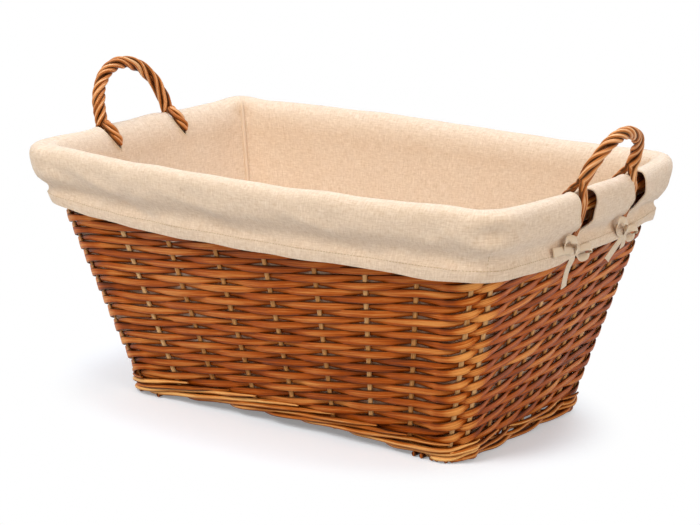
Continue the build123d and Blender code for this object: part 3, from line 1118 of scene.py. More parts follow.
    def border(self) -> None:
        """Lay the rolled border along the top of the wall."""
        chance = np.random.default_rng(self.seed + 3)
        runs = {side: Runs() for side in Side}
        middle = smooth_run(self.plan.ring(self.border_z), self.samples, closed=True)
        level, _ = outward(middle, 0.0)
        steps = np.linalg.norm(np.roll(middle, -1, axis=0) - middle, axis=1)
        along = np.cumsum(steps) - steps[0]
        for rod in range(self.border_rods):
            turn = 2 * np.pi * (along / along[-1] * self.border_turns + rod / self.border_rods)
            line = middle + level * (self.border_helix * np.cos(turn))[:, None]
            line = line + UP * (self.border_helix * np.sin(turn))[:, None]
            tone = chance.uniform(0.5, 1.0)
            for side in Side:
                span = self.plan.wall_span(side, self.samples) % len(line)
                runs[side].add(line[span], level[span], self.border_rod, tone)
        for side in Side:
            name = f"rolled_border_{side.word}"
            piece = runs[side].grow(name, self.sweep, round_rod(8), self.looks.rod)
            settle(piece, Slot.ROD, f"border_{side.word}")

    def build(self) -> None:
        """Make all parts of the wall."""
        self.strips()
        self.stakes()
        self.foot_band()
        self.border()


# ---------------------------------------------------------------- base


@dataclass
class WovenBase:
    """Base sticks, the strips woven across them, and the rods under the short walls."""

    looks: Finishes
    sweep: Tree
    stick_z: float = 15.0
    stick_radius: float = 4.0
    stick_half: float = 206.0
    stick_rows: tuple[float, ...] = (-80.0, -40.0, 0.0, 40.0, 80.0)
    stick_gap: float = 40.0
    strip_count: int = 22
    strip_step: float = 18.6
    strip_half: float = 104.0
    strip_rise: float = 5.2
    strip_width: float = 17.0
    rod_x: float = 212.5
    rod_z: float = 2.6
    rod_half: float = 97.6
    rod_radius: float = 2.55
    seed: int = 23

    def sticks(self) -> None:
        """Lay the thick sticks lengthwise."""
        runs = Runs()
        chance = np.random.default_rng(self.seed)
        x = np.linspace(-self.stick_half, self.stick_half, 40)
        for i, y in enumerate(self.stick_rows):
            bent = np.full_like(x, y) + 0.8 * waves(x, 150.0, 40 + i)
            line = np.stack([x, bent, np.full_like(x, self.stick_z)], axis=1)
            wide = self.stick_radius * (1 + 0.04 * waves(x, 80.0, 60 + i))
            runs.add(line, UP, wide, chance.uniform(0.2, 0.8))
        piece = runs.grow("base_stick_row", self.sweep, round_rod(10), self.looks.stake)
        settle(piece, Slot.STAKE, "base_sticks")

    def strips(self) -> None:
        """Weave flat strips across the sticks."""
        runs = Runs()
        chance = np.random.default_rng(self.seed + 1)
        y = np.linspace(-self.strip_half, self.strip_half, 60)
        for i in range(self.strip_count):
            x = (i - (self.strip_count - 1) / 2) * self.strip_step
            rise = (-1) ** i * self.strip_rise * np.cos(np.pi * y / self.stick_gap)
            line = np.stack([np.full_like(y, x), y, self.stick_z + rise], axis=1)
            runs.add(line, -UP, 1 + 0.03 * waves(y, 60.0, 80 + i), chance.uniform(0.1, 0.9))
        piece = runs.grow("base_strips", self.sweep, section(self.strip_width, 1.5, 0.9, 10), self.looks.strip)
        settle(piece, Slot.STRIP, "base_weave")

    def rods(self) -> None:
        """Lay the rods that carry the short walls."""
        runs = Runs()
        y = np.linspace(-self.rod_half, self.rod_half, 30)
        for i, x in enumerate((-self.rod_x, self.rod_x)):
            line = np.stack([np.full_like(y, x), y, np.full_like(y, self.rod_z)], axis=1)
            runs.add(line, UP, self.rod_radius * (1 + 0.02 * waves(y, 50.0, 90 + i)), 0.3 + 0.3 * i)
        piece = runs.grow("short_wall_rods", self.sweep, round_rod(10), self.looks.rod)
        settle(piece, Slot.ROD, "floor_rods")

    def build(self) -> None:
        """Make all parts of the base."""
        self.sticks()
        self.strips()
        self.rods()


# ---------------------------------------------------------------- handles


@dataclass(frozen=True)
class Grip:
    """Where one handle stands, how far it leans out, and how its rope is twisted."""

    word: str
    sign: int
    near_leg: float
    far_leg: float
    lean: float
    rise: float
    skew: float
    turns: float
    girth: float
    parting: float
    inside: float
    slack: float
    lead: float
    ease: float

    @property
    def legs(self) -> tuple[float, float]:
        """Both legs' places along the wall."""
        return self.near_leg, self.far_leg


LEFT_GRIP = Grip(
    "left", -1, -56.0, 57.0, lean=18.5, rise=72.5, skew=0.0, turns=2.9,
    girth=0.97, parting=0.045, inside=1.0, slack=0.4, lead=0.45, ease=0.0,
)
RIGHT_GRIP = Grip(
    "right", 1, -48.0, 53.0, lean=26.5, rise=67.5, skew=-6.0, turns=2.7,
    girth=0.86, parting=0.11, inside=0.74, slack=1.0, lead=0.0, ease=0.5,
)


@dataclass
class RopedHandle:
    """A handle twisted from rods, whose ends part at the border and run down both faces.

    The stops of the ends are given as out from the stake line, height, along from the leg, and a fourth
    number: the step along from rod to rod outside the border, or the twined rods' spread inside it.
    """

    plan: Plan
    looks: Finishes
    sweep: Tree
    grip: Grip
    strands: int = 5
    helix: float = 4.8
    rod: float = 3.0
    start_z: float = 274.0
    steps: int = 120
    shade_below: float = 270.0
    shade_fade: float = 25.0
    seed: int = 31
    outer: tuple[tuple[float, ...], ...] = ((11.0, 268.0, -4.0, 4.8), (10.6, 252.0, -0.5, 4.6), (9.6, 234.0, 4.5, 2.4))
    inner: tuple[tuple[float, ...], ...] = (
        (-6.0, 284.0, 0.2, 3.2),
        (-11.5, 278.0, 0.2, 4.6),
        (-14.2, 271.5, 2.4, 4.8),
        (-14.0, 265.5, 5.0, 3.6),
        (-12.6, 260.0, 7.2, 1.8),
    )

    def arch(self, t: Array) -> Array:
        """Middle line of the rope.

        Args:
            t: Places from 0 at the near leg to 1 at the far one.

        Returns:
            Points in millimetres.
        """
        grip, lean = self.grip, math.radians(self.grip.lean)
        middle, half = (grip.near_leg + grip.far_leg) / 2, (grip.far_leg - grip.near_leg) / 2
        rise = grip.rise * np.sin(np.pi * t) ** 0.8
        x = grip.sign * self.plan.rim_out(half, self.start_z) + grip.sign * rise * math.sin(lean)
        y = middle - half * np.cos(np.pi * t) + grip.skew * np.sin(np.pi * t) ** 2
        return np.stack([x, y, self.start_z + rise * math.cos(lean)], axis=1)

    def wall_points(self, leg_y: float, stops: list[Point]) -> Array:
        """Points beside the wall.

        Args:
            leg_y: The leg's place along the wall.
            stops: Stops given out from the stake line, up and along.

        Returns:
            Points in millimetres.
        """
        points = []
        for out, z, along in stops:
            y = leg_y + along
            points.append((self.grip.sign * (self.plan.rim_out(y, z) + out), y, z))
        return np.array(points)

    def inner_stops(self, place: int) -> list[Point]:
        """Stops of one of the three rods twined inside a leg.

        Args:
            place: Which of the three.

        Returns:
            The stops, from the top down.
        """
        stops = []
        for k, (out, z, along, spread) in enumerate(self.inner):
            turn = 2 * math.pi * (place / 3 + 0.2 * k)
            out = self.grip.inside * (out + 0.6 * spread * math.sin(turn))
            stops.append((out, z, along + spread * math.cos(turn)))
        return stops

    def leg_ends(self, leg_y: float, order: Array) -> dict[int, Array]:
        """Points of each rod below the rope: three outside the border, two inside.

        Args:
            leg_y: The leg's place along the wall.
            order: Strand numbers from the outermost to the innermost.

        Returns:
            Points from the top down, by strand.
        """
        ends = {}
        for rank, strand in enumerate(order):
            stops = [(out, z, along + step * rank) for out, z, along, step in self.outer]
            ends[int(strand)] = self.wall_points(leg_y, stops if rank < 3 else self.inner_stops(rank - 3))
        return ends

    def twist(self, middle: Array, along: Array, square: Array) -> tuple[list[Array], list[Array]]:
        """Wind the rods round the rope's middle line.

        Args:
            middle: Points of the middle line.
            along: Their share of its length.
            square: The direction out of the plane of the arch.

        Returns:
            Each rod's points, and its directions out of the rope.
        """
        across = np.cross(unit(np.gradient(middle, axis=0)), square)
        # The twist slackens towards the legs, or is drawn tighter in the near one
        loose = self.grip.ease * np.sin(2 * np.pi * along) / (2 * np.pi)
        wound = self.grip.turns * (along - loose + self.grip.lead * np.sin(np.pi * along) / np.pi)
        rods, outs = [], []
        for j in range(self.strands):
            turn = 2 * np.pi * (wound + j / self.strands) + 0.4 + 0.22 * waves(along, 0.25, 640 + j)
            outs.append(square * np.cos(turn)[:, None] + across * np.sin(turn)[:, None])
            helix = self.helix * self.grip.girth * (1 + 0.07 * waves(along, 0.3, 600 + j))
            rods.append(middle + outs[j] * helix[:, None])
        return rods, outs

    def build(self) -> Piece:
        """Twist the rods and run their ends down the wall.

        Returns:
            The handle.
        """
        grip, lean = self.grip, math.radians(self.grip.lean)
        chance = np.random.default_rng(self.seed + grip.sign)
        middle = self.arch(np.linspace(0.0, 1.0, self.steps))
        square = np.array([grip.sign * math.cos(lean), 0.0, -math.sin(lean)])
        along = lengths(middle)
        along /= along[-1]
        keep = (along > grip.parting) & (along < 1 - grip.parting)
        rods, outs = self.twist(middle, along, square)
        near, far = (
            self.leg_ends(leg, np.argsort([-grip.sign * out[keep][end][0] for out in outs]))
            for leg, end in zip(grip.legs, (0, -1))
        )
        rod = self.rod * grip.girth
        runs = Runs()
        for j in range(self.strands):
            body = rods[j][keep]
            lead = smooth_run(np.vstack([near[j][::-1], body[:2]]), 6)[:-7]
            tail = smooth_run(np.vstack([body[-2:], far[j]]), 6)[7:]
            line = np.vstack([lead, body, tail])
            wide = rod * (chance.uniform(0.92, 1.08) + 0.07 * waves(np.arange(len(line)), 40.0, 700 + j))
            slim = np.minimum(1.0, 0.86 + from_ends(len(line)) / 60.0)
            # Along the rope each rod faces out of it, so the painted edge shade lies in the grooves between rods
            facing = np.vstack([np.tile(square, (len(lead), 1)), outs[j][keep], np.tile(square, (len(tail), 1))])
            # Painted shade: ends below the border, running down into the slits behind the cloth, are drawn darker
            tone = chance.uniform(0.3, 0.8) - 0.5 * share_of(self.shade_below - line[:, 2], self.shade_fade)
            runs.add(line, facing, wide * slim, tone)
        # A third rod joins the two inside each leg out of the rope's core
        core = middle[keep]
        for leg, start in zip(grip.legs, (core, core[::-1])):
            line = smooth_run(np.vstack([start[:26:8][::-1], self.wall_points(leg, self.inner_stops(2))]), 6)
            runs.add(line, square, rod, chance.uniform(0.3, 0.8))
        piece = runs.grow(f"roped_handle_{grip.word}", self.sweep, round_rod(10), self.looks.handle)
        return settle(piece, Slot.ROD, f"handle_{grip.word}")


# ---------------------------------------------------------------- lining


@dataclass
class Lining:
    """Cloth lining: inside walls, a full roll over the rim, and a skirt with a sewn hem.

    The section runs from the hem over the rim to the floor, as out from the stake line and height. The slits'
    tables hold height, near lip and far lip. Folds and slack are depth, slant and length. Sizes at corners go by
    the wall that begins there, from the front.
    """

    plan: Plan
    looks: Finishes
    sweep: Tree
    stitch: Tree
    grips: dict[Side, Grip]
    cell: float = 4.0
    thick: float = 1.3
    floor_z: float = 24.0
    floor_out: float = -12.4
    hem: float = 14.0
    hem_step: float = 1.3
    slit_reach: float = 34.0
    slit_shift: float = 9.5
    calm_reach: float = 22.0
    long_share: float = 0.92
    short_share: float = 0.87
    floor_share: float = 0.97
    section: tuple[tuple[float, float], ...] = (
        (14.4, 208.0), (14.0, 214.0), (12.2, 221.0), (9.0, 228.5), (8.6, 234.0), (12.2, 240.0),
        (15.8, 246.5), (16.4, 254.0), (15.6, 261.0), (14.0, 268.5), (10.8, 274.8), (6.2, 278.9),
        (1.5, 280.4), (-3.5, 279.6), (-8.0, 276.0), (-10.8, 268.0), (-10.8, 256.0), (-7.8, 240.0),
        (-5.0, 220.0), (-4.3, 130.0), (-5.2, 60.0), (-8.6, 40.0), (-12.4, 25.0),
    )
    slit_outside: tuple[Point, ...] = (
        (228.0, 9.5, 9.5), (233.0, 6.0, 13.5), (240.0, 1.5, 18.5),
        (250.0, -3.0, 22.5), (262.0, -6.5, 24.0), (300.0, -8.0, 24.0),
    )
    slit_inside: tuple[Point, ...] = (
        (256.5, 6.4, 6.4), (260.0, 2.0, 10.8), (267.0, -4.4, 12.6), (274.0, -8.4, 12.6), (300.0, -9.0, 12.8),
    )
    folds: tuple[Point, ...] = ((1.1, 0.9, 120.0), (0.7, -1.6, 70.0))
    slack: tuple[Point, ...] = ((1.3, 0.15, 190.0), (0.5, 0.0, 60.0))
    creases: tuple[tuple[float, float], ...] = ((-170.0, 0.30), (-30.0, 0.22), (110.0, 0.26))
    crease_z: float = 246.0
    crease_rise: float = 2.2
    crease_fall: float = 1.9
    pucker: float = 1.5
    crest_wave: tuple[float, ...] = (1.2, 1.2, 0.5, 1.2)
    hem_wave: float = 1.4
    right_lift: float = 6.0
    back_sag: float = 4.5
    left_sag: float = 1.6
    push_reach: float = 30.0
    inner_reach: float = 15.0
    dent_reach: float = 10.0
    peak_reach: float = 22.0
    hem_reach: float = 58.0
    stitch_sizes: Point = (3.4, 2.9, 0.8)
    corner_push: tuple[float, ...] = (12.0, 6.0, 2.0, 4.0)
    corner_peak: tuple[float, ...] = (0.0, 0.0, 0.5, 4.0)
    corner_hem: tuple[float, ...] = (9.0, 0.0, 6.0, 3.0)
    corner_dent: tuple[float, ...] = (0.0, 6.5, 1.0, 1.0)
    inner_push: tuple[float, ...] = (6.5, 6.0, 6.0, 6.0)

    def __post_init__(self) -> None:
        """Lay out the rounded plan once, at the floor and at the rim, and the section in even steps."""
        self.low, self.spans, _ = self.plan_line(0.0)
        self.high, _, _ = self.plan_line(self.plan.height)
        _, _, self.places = self.plan_line(258.0)
        fine = smooth_run(np.array(self.section), 12)
        steps = lengths(fine)
        self.length = np.linspace(0.0, steps[-1], int(steps[-1] / self.cell) + 1)
        self.out, self.up = (np.interp(self.length, steps, fine[:, i]) for i in (0, 1))
        self.top = int(np.argmax(self.up))

    def plan_line(self, z: float) -> tuple[Array, dict[Side, Array], Array]:
        """Rounded plan of the stake line at a height.

        Args:
            z: The height.

        Returns:
            The closed line, each wall's places on it from seam to seam, and the place along the wall.
        """
        line, spans, places = [], {}, []
        for side in Side:
            along, depth, radius, bow = self.plan.sizes(side.is_long, z)
            rim_along, _, rim_radius, _ = self.plan.sizes(side.is_long, self.plan.height)
            cells = 2 * round((rim_along - rim_radius) / self.cell)
            turn = np.radians(np.linspace(45.0, 0.0, 9)[:-1])
            arc = np.stack([along - radius + radius * np.sin(turn), radius - depth - radius * np.cos(turn)], axis=1)
            share = np.linspace(-1.0, 1.0, cells + 1)
            face = np.stack([share * (along - radius), -depth - bow * (1 - share**2)], axis=1)
            wall = np.vstack([arc * [-1, 1], face, arc[::-1]])
            spans[side] = np.arange(len(line), len(line) + len(wall))
            line += list(self.plan.turned(side, wall)[:-1])
            places += list(wall[:-1, 0])
        spans = {side: span % len(line) for side, span in spans.items()}
        return blurred(np.array(line), 9, 2.0), spans, np.array(places)

    def at(self, columns: Array, offset: Array, z: Array) -> Array:
        """Points of the cloth.

        Args:
            columns: Places on the plan line, whole or between two.
            offset: Distance out from the stake line.
            z: Height.

        Returns:
            Points in millimetres, in the shape of the inputs.
        """
        floor = np.floor(columns).astype(int)
        part = (columns - floor)[..., None]
        share = (z / self.plan.height)[..., None]
        spots = [(floor + k) % len(self.low) for k in range(-1, 3)]
        points = [self.low[spot] * (1 - share) + self.high[spot] * share for spot in spots]
        before, point, after = (points[k] * (1 - part) + points[k + 1] * part for k in range(3))
        ahead = unit(after - before)
        normal = np.stack([ahead[..., 1], -ahead[..., 0]], axis=-1)
        return np.concatenate([point + normal * offset[..., None], z[..., None]], axis=-1)

    def billows(self, table: tuple[Point, ...], run: Array, seed: int) -> Array:
        """Add up rows of waves that slant across the cloth.

        Args:
            table: Depth, slant and length of each row of waves.
            run: Places along the plan line.
            seed: Seed of the first row.

        Returns:
            Extra offset for every column and section place.
        """
        v = self.length[None, :]
        rows = (deep * waves(run + slant * v, long, seed + 10 * k) for k, (deep, slant, long) in enumerate(table))
        return sum(rows)

    def skirt(self, side: Side) -> Array:
        """Soft folds, slanting creases and corner puckers of the skirt, and slack of the inside wall.

        Args:
            side: The wall.

        Returns:
            Extra offset for every column and section place.
        """
        columns = self.spans[side]
        run, place = (columns * self.cell)[:, None], self.places[columns][:, None]
        v, z, seed = self.length[None, :], self.up[None, :], 900 + side.value
        outside = self.out[None, :] > 0
        loose = np.where(outside, share_of(276.0 - z, 18.0), 0.0) * np.clip((z - 206.0) / 16.0, 0.3, 1.0)
        inner = np.where(outside, 0.0, share_of(268.0 - z, 40.0) * share_of(z - 24.0, 60.0))
        offset = loose * self.billows(self.folds, run, seed)
        # Drawn creases slant down along the skirt
        for k, (at, slope) in enumerate(self.creases):
            ridge = (z - self.crease_z) + slope * (place - at)
            offset = offset + loose * self.crease_rise * bell(ridge, 5.5) * bell(place - at, 62.0)
            hollow = self.crease_fall * bell(ridge + 10.0, 7.0)
            offset = offset - loose * hollow * bell(place - at - 14.0 * k, 80.0)
        offset = offset + inner * self.billows(self.slack, run, seed + 20)
        # The cloth puckers where it is gathered at the corners
        pucker = loose * bell(from_ends(len(columns))[:, None] * self.cell - 24.0, 22.0)
        return offset + pucker * self.pucker * waves(0.55 * run + 1.3 * v, 26.0, seed + 60)

    def ripple(self, side: Side) -> Array:
        """Waves of the roll's crest and of the hem.

        Args:
            side: The wall.

        Returns:
            Extra height for every column and section place.
        """
        columns = self.spans[side]
        run, place = (columns * self.cell)[:, None], self.places[columns][:, None]
        z, seed = self.up[None, :], 900 + side.value
        outside = self.out[None, :] > 0
        crest = bell(self.length[None, :] - 75.0, 22.0)
        height = crest * self.crest_wave[side.value] * waves(run, 130.0, seed + 40)
        edge = np.where(outside, share_of(225.0 - z, 17.0), 0.0)
        height = height + edge * self.hem_wave * waves(run, 150.0, seed + 50)
        if side is Side.RIGHT:
            low = np.where(outside, share_of(240.0 - z, 30.0), 0.0)
            middle = share_of(place + 66.0, 36.0)
            height = height + low * self.right_lift * middle * share_of(170.0 - place, 60.0)
        return height

    def near_corner(self, side: Side, sizes: tuple[float, ...], reach: float) -> Array:
        """A value that is full at the two corner seams of a wall and fades along it.

        Args:
            side: The wall.
            sizes: Full value at the corner where each wall begins.
            reach: How far it fades.

        Returns:
            The value for every column, as one column of a table.
        """
        spot = np.arange(len(self.spans[side])) * self.cell
        fade = sizes[side.value] * bell(spot, reach) + sizes[(side.value + 1) % 4] * bell(spot[::-1], reach)
        return fade[:, None]

    def ears(self, side: Side) -> Array:
        """How far the cloth stands out at the corners: gathered outside, drawn tight inside.

        Args:
            side: The wall.

        Returns:
            Extra offset for every column and section place.
        """
        out, z = self.out, self.up
        full = np.where(out > -4.0, share_of(out + 4.0, 12.0), 0.0) * share_of(z - 170.0, 70.0)
        within = np.arange(len(z)) > self.top
        tight = np.where(within, share_of(276.0 - z, 12.0), 0.0) * share_of(z - 26.0, 40.0)
        # The roll is dented just above the corner, and bulges below the dent
        hollow = np.where(out > 8.0, 0.6 * bell(z - 244.0, 5.0) - bell(z - 260.0, 7.0), 0.0)
        outside = self.near_corner(side, self.corner_push, self.push_reach) * full[None, :]
        inside = self.near_corner(side, self.inner_push, self.inner_reach) * tight[None, :]
        return outside + inside + self.near_corner(side, self.corner_dent, self.dent_reach) * hollow[None, :]

    def corners_up(self, side: Side) -> Array:
        """How far the roll peaks, and the hem is drawn up, at the corners.

        Args:
            side: The wall.

        Returns:
            Extra height for every column and section place.
        """
        crest = share_of(self.up - 240.0, 30.0)
        low = np.where(self.out > 0.0, share_of(245.0 - self.up, 32.0), 0.0)
        peak = self.near_corner(side, self.corner_peak, self.peak_reach) * crest[None, :]
        return peak + self.near_corner(side, self.corner_hem, self.hem_reach) * low[None, :]

    def sag(self, side: Side) -> Array | float:
        """How far the crest of the roll sinks between the corners.

        Args:
            side: The wall.

        Returns:
            Extra height for every column and section place, or none.
        """
        columns = self.spans[side]
        crest = share_of(self.up - 240.0, 30.0)[None, :]
        place = self.places[columns][:, None]
        if side is Side.BACK:
            ends = from_ends(len(columns))[:, None] * self.cell
            return -self.back_sag * crest * bell(place + 90.0, 150.0) * share_of(ends, 60.0)
        if side is Side.LEFT:
            return -self.left_sag * crest * bell(place, 80.0)
        return 0.0

    def seams(self, side: Side) -> Array:
        """Draw the inside wall's cloth in at its two sewn seams."""
        pinch = bell(from_ends(len(self.spans[side])) * self.cell, 3.2)[:, None]
        return pinch * np.where(self.out[None, :] < -5, -0.6, 0.0)

    def shape(self, side: Side) -> tuple[Array, Array]:
        """Shape of one wall's cloth before its hem is turned.

        Args:
            side: The wall.

        Returns:
            Offset and height for every column and section place; the crest's sag is not in the height.
        """
        ends = from_ends(len(self.spans[side]))[:, None] * self.cell
        calm = 1 - bell(ends, self.calm_reach)
        offset = self.out[None, :] + (self.skirt(side) * calm + self.seams(side) + self.ears(side))
        height = self.up[None, :] + (self.ripple(side) * calm + self.corners_up(side))
        return offset, height

    def slits(self, side: Side) -> list[tuple[int, Array, Array]]:
        """Slits that let a handle's legs through a short wall's cloth.

        Args:
            side: The wall.

        Returns:
            For each slit its column, and its two lips' distances from that column at every section place.
        """
        if side not in self.grips:
            return []
        grip = self.grips[side]
        along = self.places[self.spans[side]] * grip.sign
        found = []
        for leg in grip.legs:
            middle = int(np.argmin(np.abs(along - (leg + 9.0))))
            near, far = np.zeros(len(self.up)), np.zeros(len(self.up))
            for j, z in enumerate(self.up):
                heights, lip, other = np.array(self.slit_outside if j <= self.top else self.slit_inside).T
                if z > heights[0]:
                    wide = self.slit_shift + grip.slack * (np.interp(z, heights, other) - self.slit_shift)
                    near[j] = np.interp(z, heights, lip) + leg - along[middle]
                    far[j] = wide + leg - along[middle]
            near, far = self.eased(near, far)
            found.append((middle, near, far) if grip.sign > 0 else (middle, -far, -near))
        return sorted(found, key=lambda slit: slit[0])

    def eased(self, near: Array, far: Array) -> tuple[Array, Array]:
        """Round off a slit's lips where the outside table meets the inside one.

        Args:
            near: The near lip.
            far: The far lip.

        Returns:
            Both lips.
        """
        rows = np.where(far - near > 0.0)[0]
        for lip in (near, far):
            lip[rows[2:-2]] = blurred(np.pad(lip[rows], 3, mode="edge"), 3, 1.6)[5:-5]
        return near, far

    def spread(self, side: Side, slits: list[tuple[int, Array, Array]]) -> tuple[Array, Array]:
        """Push the columns apart at the slits.

        Args:
            side: The wall.
            slits: The slits.

        Returns:
            Every point's place along the wall in columns, to the left and to the right of a slit.
        """
        count = len(self.spans[side])
        order = np.arange(count)
        left = order.astype(float)[:, None] + np.zeros((1, len(self.up)))
        right = left.copy()
        for middle, near, far in slits:
            gap = (order - middle)[:, None] * self.cell
            before = np.clip(1 + gap / self.slit_reach, 0.0, 1.0) * (gap <= 0)
            after = np.clip(1 - gap / self.slit_reach, 0.0, 1.0) * (gap >= 0)
            left += before * near[None, :] / self.cell
            right += after * far[None, :] / self.cell
            low, high = order < middle, order > middle
            right[low] = np.where(before[low] > 0, left[low], right[low])
            left[high] = np.where(after[high] > 0, right[high], left[high])
        return left, right

    def panel(self, side: Side) -> tuple[Piece, list[Array], Array]:
        """Sew one wall's cloth, from corner seam to corner seam.

        Args:
            side: The wall.

        Returns:
            The cloth, the lips of its slits as closed lines, and the edge at its first seam.
        """
        base, count, deep = self.spans[side][0], len(self.spans[side]), len(self.up)
        offset, height = self.shape(side)
        offset = offset + self.hem_step * np.clip(self.hem - self.length, 0.0, 1.0)[None, :]
        height = height + self.sag(side)
        slits = self.slits(side)
        left, right = (self.at(base + run, offset, height) for run in self.spread(side, slits))
        points = list(left.reshape(-1, 3))
        run = np.broadcast_to((base + np.arange(count, dtype=float))[:, None] * self.cell, (count, deep))
        flat = list(np.stack([run, np.broadcast_to(self.length, (count, deep))], axis=-1).reshape(-1, 2))
        ids = np.arange(count * deep).reshape(count, deep)
        right_ids = ids.copy()
        lips = []
        for middle, near, far in slits:
            open_rows = np.where(far - near > 0.4)[0]
            for j in open_rows:
                right_ids[middle, j] = len(points)
                points.append(right[middle, j])
                flat.append(flat[ids[middle, j]])
            first, last = open_rows[0] - 1, open_rows[-1] + 1
            lips.append(np.vstack([left[middle, first : last + 1], right[middle, first:last][::-1]]))
        a, b = right_ids[:-1], ids[1:]
        faces = np.stack([a[:, :-1], b[:, :-1], b[:, 1:], a[:, 1:]], axis=-1).reshape(-1, 4).tolist()
        piece = mesh_piece(f"lining_cloth_{side.word}", np.array(points), faces)
        self.dress(piece, np.array(flat))
        return piece, lips, left[0]

    def dress(self, piece: Piece, flat: Array) -> None:
        """Give a cloth its map in metres, its linen and its thickness.

        Args:
            piece: The cloth, as a surface.
            flat: Each point's place on the flat cloth, in millimetres.
        """
        mesh = piece.data
        layer = mesh.uv_layers.new(name="cloth")
        loops = np.zeros(len(mesh.loops), np.int32)
        mesh.loops.foreach_get("vertex_index", loops)
        layer.data.foreach_set("uv", (flat[loops] * MM).astype(np.float32).ravel())
        mesh.materials.append(self.looks.linen)
        body = piece.modifiers.new("thickness", "SOLIDIFY")
        body.thickness, body.offset, body.use_rim = self.thick * MM, 0.0, True
        made_plain(piece, body).set_sharp_from_angle(angle=math.radians(50.0))

    def floor(self) -> Piece:
        """Lay the floor cloth inside the walls.

        Returns:
            The floor cloth.
        """
        count = len(self.low)
        rim = self.at(np.arange(count, dtype=float), np.full(count, self.floor_out), np.full(count, self.floor_z))
        shares = np.linspace(1.0, 0.05, 24)
        points = []
        for share in shares:
            ring = rim * [share, share, 1.0]
            ring[:, 2] += 1.6 * (1 - share) * (0.4 + 0.6 * waves(ring[:, 0] + 1.3 * ring[:, 1], 110.0, 77))
            points += list(ring)
        points.append((0.0, 0.0, self.floor_z + 1.2))
        points = np.array(points)
        faces = []
        for start in range(0, (len(shares) - 1) * count, count):
            for i, k in zip(range(count), [*range(1, count), 0]):
                faces.append((start + i, start + k, start + count + k, start + count + i))
        last = (len(shares) - 1) * count
        faces += [(last + i, last + (i + 1) % count, len(points) - 1) for i in range(count)]
        piece = mesh_piece("lining_cloth_floor", points, faces)
        self.dress(piece, points[:, :2])
        return piece

    def hem_stitches(self, side: Side) -> Piece:
        """Stitch the hem of one wall's skirt.

        Args:
            side: The wall.

        Returns:
            The stitches.
        """
        columns = self.spans[side]
        row = int(np.argmin(np.abs(self.length - self.hem + 2.4)))
        offset, height = self.shape(side)
        runs = Runs()
        runs.add(self.at(columns[0] + np.arange(len(columns), dtype=float), offset[:, row] + 2.0, height[:, row]), UP)
        if side is Side.RIGHT:
            # The corner seam shows between the hem and the roll; its dark stitches also stand for the shade of the
            # crease there, as painted shade
            rows = np.arange(row, row + 7)
            out = self.out[rows] + self.ears(side)[0, rows] + 0.7
            up = self.up[rows] + self.corners_up(side)[0, rows]
            runs.add(self.at(np.full(len(rows), float(columns[0])), out, up), np.array([1.0, -1.0, 0.0]))
        sizes = {name: size * MM for name, size in zip(("Spacing", "Length", "Thread"), self.stitch_sizes)}
        return runs.grow(f"hem_stitches_{side.word}", self.stitch, sizes, self.looks.thread)

    def binding(self, side: Side, lips: list[Array]) -> Piece:
        """Roll a narrow bound edge round each slit.

        Args:
            side: The wall.
            lips: The slits' lips as closed lines.

        Returns:
            The bound edges.
        """
        runs = Runs()
        for way in lips:
            line = smooth_run(way[::2], 2, closed=True)
            line = np.vstack([line, line[:1]])
            runs.add(line, line - line.mean(axis=0))
        return runs.grow(f"slit_binding_{side.word}", self.sweep, section(2.6, 1.4, 1.0, 8), self.looks.tape)

    def seam_cord(self, side: Side, line: Array) -> Piece:
        """Run the sewn seam between two walls' cloth down the inside as a ridge.

        Args:
            side: The wall that begins at the seam.
            line: The edge of its cloth, from the hem over the rim and down to the floor.

        Returns:
            The seam.
        """
        runs = Runs()
        line = line[int(np.argmax(line[:, 2])) :]
        bold = 1.4 if side is Side.LEFT else 0.8
        runs.add(line, level_out(line), 0.35 + bold * share_of(np.arange(len(line)), 5.0))
        return runs.grow(f"corner_seam_{side.word}", self.sweep, section(2.4, 0.8, 2.2, 8), self.looks.linen)

    def build(self) -> None:
        """Make the lining."""
        for side in Side:
            piece, lips, edge = self.panel(side)
            settle(piece, Slot.CLOTH, f"lining_{side.word}")
            extras = [self.hem_stitches(side), self.seam_cord(side, edge)]
            if lips:
                extras.append(self.binding(side, lips))
            [settle(extra, Slot.CLOTH) for extra in extras]
        floor = settle(self.floor(), Slot.CLOTH, "lining_floor")


# ---------------------------------------------------------------- bows


